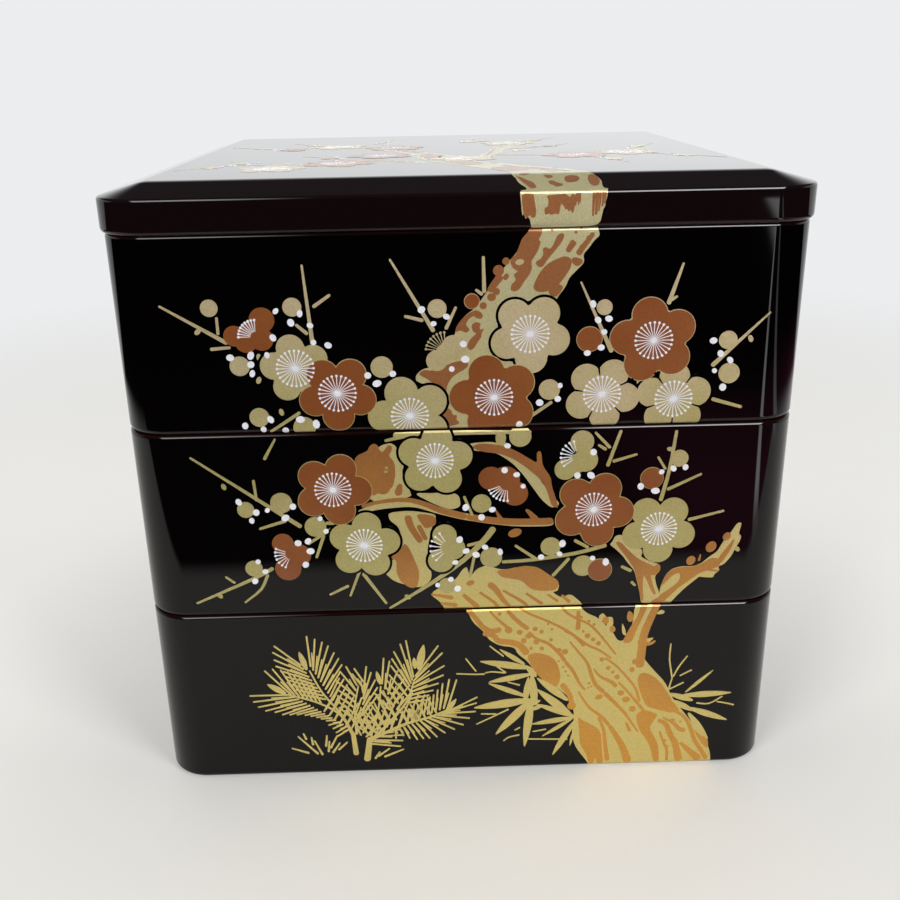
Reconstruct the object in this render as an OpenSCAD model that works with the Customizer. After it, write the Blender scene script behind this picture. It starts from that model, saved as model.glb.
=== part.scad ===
// Three-tier stacking lacquer box (jubako).
// Each tier is a square of four mitred boards with a floor let into a groove. Thin lining boards
// stand on the floor and rise above the rim as a lip, which enters the recess under the next tier
// or under the lid. Frame: origin on the table at the middle of the footprint, +Z up, front at -Y.

/* [Footprint] */
// Outside width and depth of the tiers
body_w = 195; // [165:1:240]
// Outside radius of the upright corners
corner_r = 13; // [12:0.5:16]

/* [Tiers] */
// Height of the bottom tier, foot to rim
bottom_h = 59.3; // [45:0.1:75]
// Height of the middle tier, foot to rim
middle_h = 58.5; // [45:0.1:75]
// Height of the top tier, foot to rim
top_h = 56.4; // [45:0.1:75]
// Thickness of a wall board
wall_t = 6.5; // [5:0.1:8]
// Radius of the outer foot edge of each wall
foot_round = 1.8; // [0.6:0.1:2.4]
// Radius of the outer rim edge of each wall
rim_round = 0.9; // [0.4:0.1:1.6]

/* [Floors] */
// Thickness of a floor board
floor_t = 4; // [3:0.1:5]
// Depth of the recess under a floor board, which takes the lip below
foot_recess = 6; // [5.4:0.1:8]
// How far a floor board enters the groove in each wall
groove_d = 2; // [1:0.1:2.5]

/* [Lining and lip] */
// Thickness of a lining board
lining_t = 2.6; // [2:0.1:3.4]
// Height of the lip above the rim
lip_h = 4.5; // [3:0.1:5]
// Gap on each side between a lip and the recess that it enters
lip_gap = 0.35; // [0.3:0.05:0.6]
// Chamfer that guides the lip into its recess
lip_chamfer = 0.8; // [0.4:0.1:1.2]
// Radius of the fillet that rounds each inner corner
fillet_r = 5; // [3:0.5:8]

/* [Lid] */
// How far the lid stands out past the tiers on each side
lid_overhang = 1.2; // [0.5:0.1:2.5]
// Height of the lid's rails
rail_h = 7; // [6.2:0.1:9]
// Radius of the outer foot edge of the rails
rail_round = 0.9; // [0.4:0.1:1.6]
// Thickness of the lid's panel at its edge, below the bevel
panel_edge_t = 2.7; // [2:0.1:4]
// Height of the bevel round the panel
bevel_rise = 3.5; // [2:0.1:5]
// Width of the bevel, seen from above
bevel_inset = 12.5; // [6:0.5:12.5]
// Depth of the panel's tongue between the rails
tongue_t = 1; // [0.5:0.1:1.4]

/* [Mitre keys] */
// Thickness of a key
key_t = 1.6; // [1:0.1:2.5]
// How far a key reaches into the corner, along the mitre
key_depth = 3; // [2:0.1:3.4]
// Height of the lower key above the foot of a tier
key_low = 15; // [12:0.5:18]
// Distance of the upper key below the rim of a tier
key_high = 14; // [8:0.5:18]
// Height of a key above the foot of a lid rail
lid_key_z = 3.5; // [2.5:0.1:4.5]

/* [Hidden] */
$fn = 48;
lacquer = [0.13, 0.06, 0.05];
vermilion = [0.68, 0.13, 0.07];
timber = [0.74, 0.58, 0.38];
arc_steps = 5;

// Places of the bodies, from the table up
middle_z = bottom_h;
top_z = middle_z + middle_h;
lid_z = top_z + top_h;
panel_z = lid_z + rail_h;

// Lid sizes that follow from the tiers
lid_w = body_w + 2 * lid_overhang;
lid_r = corner_r + lid_overhang;
rail_t = wall_t + lid_overhang;

// Clear width inside a tier's walls, and of a floor board with its tongues
inner_w = body_w - 2 * wall_t;
floor_w = inner_w + 2 * groove_d;
floor_r = max(1, corner_r - wall_t + groove_d);

// Turns that carry the front board to each side
side_turn = [0, 90, 180, 270];

// Points on an arc of radius r round [x, y], from angle a to angle b
function arc(x, y, r, a, b) =
    [for (i = [0 : arc_steps]) [x + r * cos(a + (b - a) * i / arc_steps),
                                y + r * sin(a + (b - a) * i / arc_steps)]];

// Board section: x is the distance in from the outer face, y the height above the foot.
// A rim of 0 leaves that edge square, for a rail that carries a panel flush with its face.
function board_section(t, h, foot, rim) = concat(
    [[t, 0]],
    [[t, h]],
    rim > 0 ? arc(rim, h - rim, rim, 90, 180) : [[0, h]],
    arc(foot, foot, foot, 180, 270)
);

// Lining section: the lip above rim height rim_z is set in by the gap and chamfered outside
function lining_section(t, rim_z) = [
    [0, 0],
    [t, 0],
    [t, rim_z + lip_h],
    [lip_gap + lip_chamfer, rim_z + lip_h],
    [lip_gap, rim_z + lip_h - lip_chamfer],
    [lip_gap, rim_z],
    [0, rim_z]
];

// Flat square with round corners
module rounded_square(w, r) {
    square([w, w - 2 * r], center = true);
    square([w - 2 * r, w], center = true);
    for (x = [-1, 1], y = [-1, 1])
        translate([x * (w / 2 - r), y * (w / 2 - r)]) circle(r);
}

// Wedge of a quarter turn from the middle to the front, whose sides are the mitre planes
module mitre_wedge(reach, h) {
    linear_extrude(h) polygon([[0, 0], [-reach, -reach], [reach, -reach]]);
}

// One round corner end of a front board, from the straight face to the mitre plane
module board_end(w, r, t, h, foot, rim) {
    translate([w / 2 - r, r - w / 2, 0]) rotate([0, 0, -90]) rotate_extrude(angle = 45)
        polygon([for (p = board_section(t, h, foot, rim)) [r - p[0], p[1]]]);
}

// Front board of a mitred square: straight face, round ends, flat inner face
module board_blank(w, r, t, h, foot, rim) {
    intersection() {
        union() {
            translate([r - w / 2, -w / 2, 0]) rotate([90, 0, 90]) linear_extrude(w - 2 * r)
                polygon(board_section(t, h, foot, rim));
            board_end(w, r, t, h, foot, rim);
            mirror([1, 0, 0]) board_end(w, r, t, h, foot, rim);
        }
        translate([-w / 2, -w / 2, 0]) cube([w, t, h]);
    }
}

// Saw slot across one front corner of a square, open at the outer faces
module key_slot(w, r, z) {
    corner_reach = w / sqrt(2) - r * (sqrt(2) - 1);
    rotate([0, 0, -45]) translate([corner_reach - key_depth, -r, z - key_t / 2])
        cube([2 * key_depth, 2 * r, key_t]);
}

// Key let into that slot, with its outer edge flush with the round corner
module mitre_key(w, r, z) {
    intersection() {
        key_slot(w, r, z);
        translate([0, 0, z - key_t]) linear_extrude(2 * key_t) rounded_square(w, r);
    }
}

// Keys at the given heights in all four corners
module mitre_keys(w, r, heights) {
    color(timber) for (a = side_turn, z = heights) rotate([0, 0, a]) mitre_key(w, r, z);
}

// Heights of a tier's keys above its foot
function tier_key_heights(h) = [key_low, h - key_high];

// Wall board of a tier, with the floor's groove and its share of the key slots
module tier_board(h, turn) {
    color(lacquer) rotate([0, 0, turn]) difference() {
        board_blank(body_w, corner_r, wall_t, h, foot_round, rim_round);
        floor_blank();
        for (z = tier_key_heights(h), a = [0, -90])
            rotate([0, 0, a]) key_slot(body_w, corner_r, z);
    }
}

module floor_blank() {
    translate([0, 0, foot_recess]) linear_extrude(floor_t) rounded_square(floor_w, floor_r);
}

module tier_floor() {
    color(vermilion) floor_blank();
}

// Lining board glued inside a wall, mitred at both ends, standing on the floor
module tier_lining(h, turn) {
    floor_top = foot_recess + floor_t;
    color(vermilion) rotate([0, 0, turn]) translate([0, 0, floor_top]) intersection() {
        translate([-inner_w / 2, -inner_w / 2, 0]) rotate([90, 0, 90]) linear_extrude(inner_w)
            polygon(lining_section(lining_t, h - floor_top));
        mitre_wedge(inner_w, h + lip_h);
    }
}

// Filling that rounds the four inner corners from the floor to the lip
module corner_fillets(h) {
    floor_top = foot_recess + floor_t;
    corner = inner_w / 2 - lining_t;
    color(vermilion) for (a = side_turn) rotate([0, 0, a])
        translate([corner - fillet_r, corner - fillet_r, floor_top])
            linear_extrude(h + lip_h - floor_top) difference() {
                square(fillet_r);
                circle(fillet_r);
            }
}

// Rail of the lid, with its share of the key slots
module lid_rail(turn) {
    color(lacquer) rotate([0, 0, turn]) difference() {
        board_blank(lid_w, lid_r, rail_t, rail_h, rail_round, 0);
        for (a = [0, -90])
            rotate([0, 0, a]) key_slot(lid_w, lid_r, lid_key_z);
    }
}

// Bevelled square: sloping sides, with a cone at each corner
module bevelled_square(w, r, rise, inset) {
    straight = w - 2 * r;
    slope = [[0, 0], [w / 2, 0], [w / 2 - inset, rise], [0, rise]];
    cone = [[0, 0], [r, 0], [r - inset, rise], [0, rise]];
    for (a = side_turn) rotate([0, 0, a]) {
        translate([0, straight / 2, 0]) rotate([90, 0, 0]) linear_extrude(straight) polygon(slope);
        translate([straight / 2, straight / 2, 0]) rotate_extrude(angle = 90) polygon(cone);
    }
}

// Top panel of the lid: tongue between the rails, edge over them, then the bevel
module lid_panel() {
    color(lacquer) translate([0, 0, panel_z]) {
        translate([0, 0, -tongue_t]) linear_extrude(tongue_t) square(inner_w, center = true);
        linear_extrude(panel_edge_t) rounded_square(lid_w, lid_r);
        translate([0, 0, panel_edge_t]) bevelled_square(lid_w, lid_r, bevel_rise, bevel_inset);
    }
}

// Bottom tier
module bottom_front_board() { tier_board(bottom_h, side_turn[0]); }
module bottom_right_board() { tier_board(bottom_h, side_turn[1]); }
module bottom_back_board() { tier_board(bottom_h, side_turn[2]); }
module bottom_left_board() { tier_board(bottom_h, side_turn[3]); }
module bottom_floor() { tier_floor(); }
module bottom_mitre_keys() { mitre_keys(body_w, corner_r, tier_key_heights(bottom_h)); }
module bottom_corner_fillets() { corner_fillets(bottom_h); }
module bottom_front_lining() { tier_lining(bottom_h, side_turn[0]); }
module bottom_right_lining() { tier_lining(bottom_h, side_turn[1]); }
module bottom_back_lining() { tier_lining(bottom_h, side_turn[2]); }
module bottom_left_lining() { tier_lining(bottom_h, side_turn[3]); }

// Middle tier
module in_middle() { translate([0, 0, middle_z]) children(); }
module middle_front_board() { in_middle() tier_board(middle_h, side_turn[0]); }
module middle_right_board() { in_middle() tier_board(middle_h, side_turn[1]); }
module middle_back_board() { in_middle() tier_board(middle_h, side_turn[2]); }
module middle_left_board() { in_middle() tier_board(middle_h, side_turn[3]); }
module middle_floor() { in_middle() tier_floor(); }
module middle_mitre_keys() { in_middle() mitre_keys(body_w, corner_r, tier_key_heights(middle_h)); }
module middle_corner_fillets() { in_middle() corner_fillets(middle_h); }
module middle_front_lining() { in_middle() tier_lining(middle_h, side_turn[0]); }
module middle_right_lining() { in_middle() tier_lining(middle_h, side_turn[1]); }
module middle_back_lining() { in_middle() tier_lining(middle_h, side_turn[2]); }
module middle_left_lining() { in_middle() tier_lining(middle_h, side_turn[3]); }

// Top tier
module in_top() { translate([0, 0, top_z]) children(); }
module top_front_board() { in_top() tier_board(top_h, side_turn[0]); }
module top_right_board() { in_top() tier_board(top_h, side_turn[1]); }
module top_back_board() { in_top() tier_board(top_h, side_turn[2]); }
module top_left_board() { in_top() tier_board(top_h, side_turn[3]); }
module top_floor() { in_top() tier_floor(); }
module top_mitre_keys() { in_top() mitre_keys(body_w, corner_r, tier_key_heights(top_h)); }
module top_corner_fillets() { in_top() corner_fillets(top_h); }
module top_front_lining() { in_top() tier_lining(top_h, side_turn[0]); }
module top_right_lining() { in_top() tier_lining(top_h, side_turn[1]); }
module top_back_lining() { in_top() tier_lining(top_h, side_turn[2]); }
module top_left_lining() { in_top() tier_lining(top_h, side_turn[3]); }

// Lid
module in_lid() { translate([0, 0, lid_z]) children(); }
module lid_front_rail() { in_lid() lid_rail(side_turn[0]); }
module lid_right_rail() { in_lid() lid_rail(side_turn[1]); }
module lid_back_rail() { in_lid() lid_rail(side_turn[2]); }
module lid_left_rail() { in_lid() lid_rail(side_turn[3]); }
module lid_mitre_keys() { in_lid() mitre_keys(lid_w, lid_r, [lid_key_z]); }

bottom_front_board();
bottom_right_board();
bottom_back_board();
bottom_left_board();
bottom_floor();
bottom_mitre_keys();
bottom_corner_fillets();
bottom_front_lining();
bottom_right_lining();
bottom_back_lining();
bottom_left_lining();
middle_front_board();
middle_right_board();
middle_back_board();
middle_left_board();
middle_floor();
middle_mitre_keys();
middle_corner_fillets();
middle_front_lining();
middle_right_lining();
middle_back_lining();
middle_left_lining();
top_front_board();
top_right_board();
top_back_board();
top_left_board();
top_floor();
top_mitre_keys();
top_corner_fillets();
top_front_lining();
top_right_lining();
top_back_lining();
top_left_lining();
lid_front_rail();
lid_right_rail();
lid_back_rail();
lid_left_rail();
lid_mitre_keys();
lid_panel();
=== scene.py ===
"""Three-tier lacquer box with a bevelled lid, painted with plum, pine and bamboo."""

import math
import random
from collections import defaultdict

import bmesh
import bpy
from mathutils import Matrix, Vector


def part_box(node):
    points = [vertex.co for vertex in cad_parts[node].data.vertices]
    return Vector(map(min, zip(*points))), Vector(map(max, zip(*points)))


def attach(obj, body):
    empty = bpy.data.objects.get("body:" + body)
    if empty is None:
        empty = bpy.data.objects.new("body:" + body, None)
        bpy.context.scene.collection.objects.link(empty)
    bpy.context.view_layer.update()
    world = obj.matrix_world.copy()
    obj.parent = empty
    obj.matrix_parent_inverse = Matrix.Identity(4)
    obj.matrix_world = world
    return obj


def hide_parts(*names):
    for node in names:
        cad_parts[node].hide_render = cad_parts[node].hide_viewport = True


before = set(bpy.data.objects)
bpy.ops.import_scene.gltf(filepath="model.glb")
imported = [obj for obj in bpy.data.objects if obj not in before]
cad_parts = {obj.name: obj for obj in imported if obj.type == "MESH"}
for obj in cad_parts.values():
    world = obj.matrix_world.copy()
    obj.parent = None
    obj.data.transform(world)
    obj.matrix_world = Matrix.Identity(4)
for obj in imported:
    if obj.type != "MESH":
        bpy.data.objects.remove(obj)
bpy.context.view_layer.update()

MM = 0.001
TIERS = ("bottom", "middle", "top")

# Sizes of the lacquered forms, in metres, that the frame's boxes don't give
CORNER_R = 13 * MM
FOOT_ROUND = 1.8 * MM
RIM_ROUND = 0.9 * MM
FILLET_R = 5 * MM
COVE_R = 2 * MM
LIP_GAP = 0.35 * MM
LIP_ROUND = 0.6 * MM
BEVEL_INSET = 12.5 * MM
BEVEL_RISE = 3.5 * MM
LID_FOOT_ROUND = 1.5 * MM
LID_EDGE_ROUND = 0.7 * MM
LID_TOP_ROUND = 1.5 * MM
LID_TONGUE = 1 * MM

# The lid's lacquer is this much inside its solid, so that the painting on it stays inside
PAINT_ROOM = 0.14 * MM
# The painted plates sink into the lacquer by this, and stop this short of a wall's foot and rim
PAINT_SINK = 0.02 * MM
PAINT_FOOT_GAP = 0.25 * MM
PAINT_RIM_GAP = 0.12 * MM
# Each flat shape lies some of these steps higher than the last, and starts again after this many
LIFT_STEP = 0.0002 * MM
LIFT_STEPS = 97
# Levels closer than this are the same level, and places closer than this to a wall belong to it
SAME = 0.01 * MM
NEAR = 0.1 * MM


# Materials

def new_material(name):
    """A material with its Principled shader, node tree and links."""
    material = bpy.data.materials.new(name)
    material.use_nodes = True
    tree = material.node_tree
    return material, tree, tree.nodes["Principled BSDF"]


def add_node(tree, kind, **inputs):
    """A node of the given kind, with its inputs set by name."""
    node = tree.nodes.new(kind)
    for name, value in inputs.items():
        node.inputs[name.replace("_", " ")].default_value = value
    return node


def object_place(tree):
    """The output that gives a point's place on the piece, in metres."""
    return tree.nodes.new("ShaderNodeTexCoord").outputs["Object"]


def noise_field(tree, scale, detail=2.0, stretch=(1, 1, 1)):
    """A noise value over the piece; stretch squeezes it along an axis."""
    mapping = tree.nodes.new("ShaderNodeMapping")
    mapping.inputs["Scale"].default_value = stretch
    tree.links.new(object_place(tree), mapping.inputs["Vector"])
    noise = add_node(tree, "ShaderNodeTexNoise", Scale=scale, Detail=detail)
    tree.links.new(mapping.outputs["Vector"], noise.inputs["Vector"])
    return noise.outputs["Fac"]


def ramp(tree, field, stops):
    """A colour ramp over a field, from (place, colour) stops."""
    node = tree.nodes.new("ShaderNodeValToRGB")
    elements = node.color_ramp.elements
    while len(elements) < len(stops):
        elements.new(0.5)
    for element, (place, colour) in zip(elements, stops):
        element.position = place
        element.color = (*colour, 1)
    tree.links.new(field, node.inputs["Fac"])
    return node.outputs["Color"]


def math_node(tree, operation, a, b):
    """A math node; a and b are outputs or numbers."""
    node = tree.nodes.new("ShaderNodeMath")
    node.operation = operation
    for socket, value in zip(node.inputs, (a, b)):
        if isinstance(value, (int, float)):
            socket.default_value = value
        else:
            tree.links.new(value, socket)
    return node.outputs[0]


def map_range(tree, value, low, high, to_low=0.0, to_high=1.0):
    """A smooth step of a value from low to high."""
    node = tree.nodes.new("ShaderNodeMapRange")
    node.interpolation_type = "SMOOTHSTEP"
    tree.links.new(value, node.inputs["Value"])
    for name, number in (("From Min", low), ("From Max", high), ("To Min", to_low), ("To Max", to_high)):
        node.inputs[name].default_value = number
    return node.outputs["Result"]


def times(tree, first, *others):
    """The product of outputs or numbers."""
    for other in others:
        first = math_node(tree, "MULTIPLY", first, other)
    return first


def between(tree, value, low, high, soft):
    """1 where a value is between two levels, with soft ends."""
    rise = map_range(tree, value, low, low + soft)
    return times(tree, rise, map_range(tree, value, high - soft, high, 1, 0))


def axes(tree, vector):
    """The X, Y and Z outputs of a vector."""
    separate = tree.nodes.new("ShaderNodeSeparateXYZ")
    tree.links.new(vector, separate.inputs[0])
    return separate.outputs


def mix_colours(tree, factor, first, second, mode="MIX"):
    """Blends two colours, each one a socket or a plain colour."""
    mix = tree.nodes.new("ShaderNodeMix")
    mix.data_type = "RGBA"
    mix.blend_type = mode
    for socket, value in ((mix.inputs["Factor"], factor), (mix.inputs[6], first), (mix.inputs[7], second)):
        if isinstance(value, bpy.types.NodeSocket):
            tree.links.new(value, socket)
        else:
            socket.default_value = (*value, 1) if isinstance(value, tuple) else value
    return mix.outputs[2]


def bump(tree, field, strength, distance):
    """A normal bent by a field."""
    node = add_node(tree, "ShaderNodeBump", Strength=strength, Distance=distance)
    tree.links.new(field, node.inputs["Height"])
    return node.outputs["Normal"]


def lacquer(name, deep, thin, roughness):
    """Polished lacquer: deep colour on the flats, the thin coat's warmer colour along the edges."""
    material, tree, shader = new_material(name)
    shader.inputs["Roughness"].default_value = roughness
    shader.inputs["IOR"].default_value = 1.34
    edge = tree.nodes.new("ShaderNodeAttribute")
    edge.attribute_name = "edge"
    tree.links.new(ramp(tree, edge.outputs["Fac"], [(0.0, deep), (1.0, thin)]), shader.inputs["Base Color"])
    ripple = noise_field(tree, scale=26, detail=1, stretch=(1, 1, 0.35))
    tree.links.new(bump(tree, ripple, strength=0.12, distance=0.0004), shader.inputs["Normal"])
    return material


DARK_LACQUER = lacquer("dark_lacquer", (0.0010, 0.0006, 0.0007), (0.013, 0.003, 0.003), 0.035)
LID_LACQUER = lacquer("lid_dark_lacquer", (0.0058, 0.0026, 0.0031), (0.013, 0.003, 0.003), 0.035)
RED_LACQUER = lacquer("vermilion_lacquer", (0.42, 0.030, 0.012), (0.50, 0.05, 0.02), 0.12)


# Mesh helpers

def finished_piece(name, bm, materials, body, sharp=40):
    """Makes an object from a bmesh, shades it and lets it ride on its body."""
    bmesh.ops.recalc_face_normals(bm, faces=bm.faces)
    mesh = bpy.data.meshes.new(name)
    bm.to_mesh(mesh)
    bm.free()
    for material in materials:
        mesh.materials.append(material)
    mesh.shade_smooth()
    mesh.set_sharp_from_angle(angle=math.radians(sharp))
    piece = bpy.data.objects.new(name, mesh)
    bpy.context.scene.collection.objects.link(piece)
    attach(piece, body)
    return piece


def keep_flats_flat(piece):
    """Weights normals by area, so that a large face mirrors without a bend at its round edges."""
    modifier = piece.modifiers.new("flat_faces", "WEIGHTED_NORMAL")
    modifier.keep_sharp = True
    modifier.weight = 100


def faces_facing(bm, z_sign, height):
    """The flat faces at a height that look up (1) or down (-1)."""
    return [f for f in bm.faces
            if f.normal.z * z_sign > 0.99 and abs(f.calc_center_median().z - height) < SAME]


def middle_face(bm, z_sign, height):
    """The flat face at a height that looks up (1) or down (-1) and lies over the middle."""
    return min(faces_facing(bm, z_sign, height), key=lambda f: f.calc_center_median().xy.length)


def edges_at(bm, height, reach=(0.0, 1.0)):
    """The edges of the round-cornered loop at a height, whose half width lies within reach."""
    found = []
    for edge in bm.edges:
        a, b = (v.co for v in edge.verts)
        if abs(a.z - height) > SAME or abs(b.z - height) > SAME:
            continue
        side = any(abs(f.normal.z) < 0.98 for f in edge.link_faces)
        half = max(abs(a.x), abs(a.y), abs(b.x), abs(b.y))
        if side and reach[0] <= half <= reach[1]:
            found.append(edge)
    return found


def round_edges(bm, edges, radius, segments):
    """Rounds edges to a radius."""
    bmesh.ops.bevel(bm, geom=edges, offset=radius, offset_type="OFFSET", segments=segments,
                    profile=0.5, affect="EDGES", material=-1)


def square_block(width, corner, low, high, segments=14):
    """A square block with round upright corners."""
    bm = bmesh.new()
    bmesh.ops.create_cube(bm, size=1)
    bmesh.ops.scale(bm, vec=(width, width, high - low), verts=bm.verts)
    bmesh.ops.translate(bm, vec=(0, 0, (low + high) / 2), verts=bm.verts)
    uprights = [e for e in bm.edges if abs(e.verts[0].co.z - e.verts[1].co.z) > MM]
    round_edges(bm, uprights, corner, segments)
    return bm


def inset_face(bm, face, thickness, depth=0.0):
    """Insets one flat face, keeps it, and moves it out by depth."""
    bmesh.ops.inset_region(bm, faces=[face], thickness=thickness, depth=depth,
                           use_even_offset=True, use_boundary=True)


def push_face(bm, face, height):
    """Extrudes one flat face up or down to a height, and returns the moved face."""
    made = bmesh.ops.extrude_face_region(bm, geom=[face])["geom"]
    moved = next(g for g in made if isinstance(g, bmesh.types.BMFace))
    bmesh.ops.translate(bm, vec=(0, 0, height - moved.calc_center_median().z), verts=moved.verts)
    if face.is_valid:
        bmesh.ops.delete(bm, geom=[face], context="FACES_ONLY")
    return moved


def mark_edges(piece, low, high, low_round, high_round):
    """Writes 1 at the piece's foot and rim, down to 0 where their rounding ends: the coat is thin there."""
    mesh = piece.data
    edge = mesh.attributes.new("edge", "FLOAT", "POINT")
    for vertex, value in zip(mesh.vertices, edge.data):
        foot = 1 - (vertex.co.z - low) / low_round
        rim = 1 - (high - vertex.co.z) / high_round
        value.value = min(1.0, max(0.0, foot, rim))


# The lacquered tiers and lid

def tier_wall(tier):
    """The lacquered outer wall of a tier: one ring with a rounded foot and rim."""
    front_low, front_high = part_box(f"{tier}_front_board")
    left_low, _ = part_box(f"{tier}_left_board")
    width = -2 * left_low.x
    wall = front_high.y - front_low.y
    foot, rim = front_low.z, front_high.z
    bm = square_block(width, CORNER_R, foot, rim)
    round_edges(bm, edges_at(bm, rim), RIM_ROUND, 5)
    round_edges(bm, edges_at(bm, foot), FOOT_ROUND, 7)
    for sign, height, rounded in ((1, rim, RIM_ROUND), (-1, foot, FOOT_ROUND)):
        inset_face(bm, middle_face(bm, sign, height), wall - rounded)
    inner = [middle_face(bm, 1, rim), middle_face(bm, -1, foot)]
    loops = [e for f in inner for e in f.edges]
    bmesh.ops.delete(bm, geom=inner, context="FACES_ONLY")
    bmesh.ops.bridge_loops(bm, edges=loops)
    piece = finished_piece(f"{tier}_tier_wall_lacquer", bm, [DARK_LACQUER], f"{tier}_tier")
    keep_flats_flat(piece)
    mark_edges(piece, foot, rim, FOOT_ROUND, RIM_ROUND)
    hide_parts(*(f"{tier}_{side}_board" for side in ("front", "right", "back", "left")),
                f"{tier}_mitre_keys")


def tier_tray(tier):
    """The lacquered inside of a tier: floor, walls with filled corners, and the lip."""
    floor_low, floor_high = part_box(f"{tier}_floor")
    lining_low, lining_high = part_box(f"{tier}_front_lining")
    lip_half = -lining_low.y - LIP_GAP
    lip_t = lining_high.y - lining_low.y - LIP_GAP
    floor_half = floor_high.x
    step = floor_half - lip_half
    bm = square_block(2 * floor_half, FILLET_R + lip_t + step, floor_low.z, floor_high.z)
    inset_face(bm, middle_face(bm, 1, floor_high.z), step)
    top = push_face(bm, middle_face(bm, 1, floor_high.z), lining_high.z)
    inset_face(bm, top, lip_t)
    push_face(bm, middle_face(bm, 1, lining_high.z), floor_high.z)
    inner_half = lip_half - lip_t
    round_edges(bm, edges_at(bm, lining_high.z), LIP_ROUND, 3)
    round_edges(bm, edges_at(bm, floor_high.z, (0, inner_half + NEAR)), COVE_R, 4)
    under = [f for f in bm.faces if f.calc_center_median().z < floor_high.z - SAME]
    for face in under:
        face.material_index = 1
    piece = finished_piece(f"{tier}_tier_inside_lacquer", bm, [RED_LACQUER, DARK_LACQUER], f"{tier}_tier")
    keep_flats_flat(piece)
    mark_edges(piece, floor_low.z, lining_high.z, COVE_R, LIP_ROUND)
    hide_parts(*(f"{tier}_{side}_lining" for side in ("front", "right", "back", "left")),
                f"{tier}_floor", f"{tier}_corner_fillets")


def lid_shell():
    """The lacquered lid: band, broad bevel, flat top, and the recess below."""
    panel_low, panel_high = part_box("lid_panel")
    rail_low, rail_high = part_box("lid_front_rail")
    width = panel_high.x - panel_low.x - 2 * PAINT_ROOM
    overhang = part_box("bottom_front_board")[0].y - rail_low.y
    foot, band = rail_low.z, panel_high.z - BEVEL_RISE - PAINT_ROOM
    corner = CORNER_R + overhang
    rail_t = rail_high.y - rail_low.y
    bm = square_block(width, corner, foot, band)
    round_edges(bm, edges_at(bm, foot), LID_FOOT_ROUND, 4)
    inset_face(bm, middle_face(bm, -1, foot), rail_t - LID_FOOT_ROUND)
    push_face(bm, middle_face(bm, -1, foot), rail_high.z - LID_TONGUE)
    inset_face(bm, middle_face(bm, 1, band), BEVEL_INSET, BEVEL_RISE)
    round_edges(bm, edges_at(bm, band + BEVEL_RISE), LID_TOP_ROUND, 8)
    round_edges(bm, edges_at(bm, band), LID_EDGE_ROUND, 5)
    inner_half = width / 2 - rail_t
    for face in bm.faces:
        centre = face.calc_center_median()
        if foot < centre.z < band and max(abs(centre.x), abs(centre.y)) < inner_half + NEAR:
            face.material_index = 1
    piece = finished_piece("lid_lacquer", bm, [LID_LACQUER, RED_LACQUER], "lid")
    keep_flats_flat(piece)
    mark_edges(piece, foot, 1, LID_FOOT_ROUND, LID_FOOT_ROUND)
    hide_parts("lid_panel", "lid_mitre_keys",
                *(f"lid_{side}_rail" for side in ("front", "right", "back", "left")))


for tier in TIERS:
    tier_wall(tier)
    tier_tray(tier)
lid_shell()


# Painted decoration: flat shapes are drawn in mm with x from the middle and y up from the table,
# and then laid on the front as thin plates. The sizes here are in mm.
OUTLINE_GROW = 0.75
RIM_GROW = 0.2
BUD_RIM = 0.15
STAMEN_REACH = 5.1
STAMEN_ROOT, STAMEN_END, STAMEN_HEAD = 0.15, 0.28, 0.38
# A dark gap between petals starts this far from the middle, and ends at a share of the radius plus a bit
GAP_START, GAP_SHARE, GAP_EXTRA = 5.6, 0.72, 2
# A stroke's ends are rounded by this share of its width
END_ROUND = 0.46
# A petal is a circle of this share of the blossom's radius, and its middle lies at this share of it
PETAL_SHARE, PETAL_PLACE = 0.4, 0.6
# How many sides the small round shapes have
DISC_SIDES, HALF_PETAL_SIDES, KNOT_SIDES, DOT_SIDES = 24, 32, 14, 9
# The white dots and the knots on the twigs differ by chance within these bounds
DOT_RADIUS, DOT_STRETCH, ANY_TURN = (0.72, 1.02), (1, 1.35), (0, 180)
KNOT_STRETCH = 1.5
# The widest angle in degrees that a plate shades smoothly
PLATE_SHARP = 30
# The steps in which the painting bends round each of the lid's edges
ARC_STEPS = 6


def lift(bm):
    """A few microns, other for each shape, so that shapes that overlap never share a plane."""
    return (len(bm.verts) * 5 % LIFT_STEPS) * LIFT_STEP


def flat_outline(bm, points, soft=0.0):
    """A flat shape from given corners. Soft rounds each corner by that share of its edges."""
    height = lift(bm)
    corners = [bm.verts.new((x * MM, y * MM, height)) for x, y in points]
    bm.faces.new(corners)
    if soft:
        bmesh.ops.bevel(bm, geom=corners, offset=100 * soft, offset_type="PERCENT", segments=3,
                        profile=0.5, affect="VERTICES", material=-1)


def flat_disc(bm, x, y, radius, segments=20, wide=1.0, turn=0.0):
    """A round or oval flat shape."""
    place = (Matrix.Translation((x * MM, y * MM, lift(bm))) @ Matrix.Rotation(math.radians(turn), 4, "Z")
             @ Matrix.Diagonal((wide, 1, 1, 1)))
    return bmesh.ops.create_circle(bm, cap_ends=True, segments=segments, radius=radius * MM, matrix=place)


def curved(points):
    """More points along a bent path, on a smooth curve through the ones given."""
    points = [Vector(p) for p in points]
    if len(points) < 3:
        return points
    ends = [2 * points[0] - points[1], *points, 2 * points[-1] - points[-2]]
    path = []
    for a, b, c, d in zip(ends, ends[1:], ends[2:], ends[3:]):
        for t in (0, 0.33, 0.67):
            path.append(b + (c - a) * t / 2 + (a * 2 - b * 5 + c * 4 - d) * t ** 2 / 2
                        + (b * 3 - a - c * 3 + d) * t ** 3 / 2)
    return [*path, points[-1]]


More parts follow.
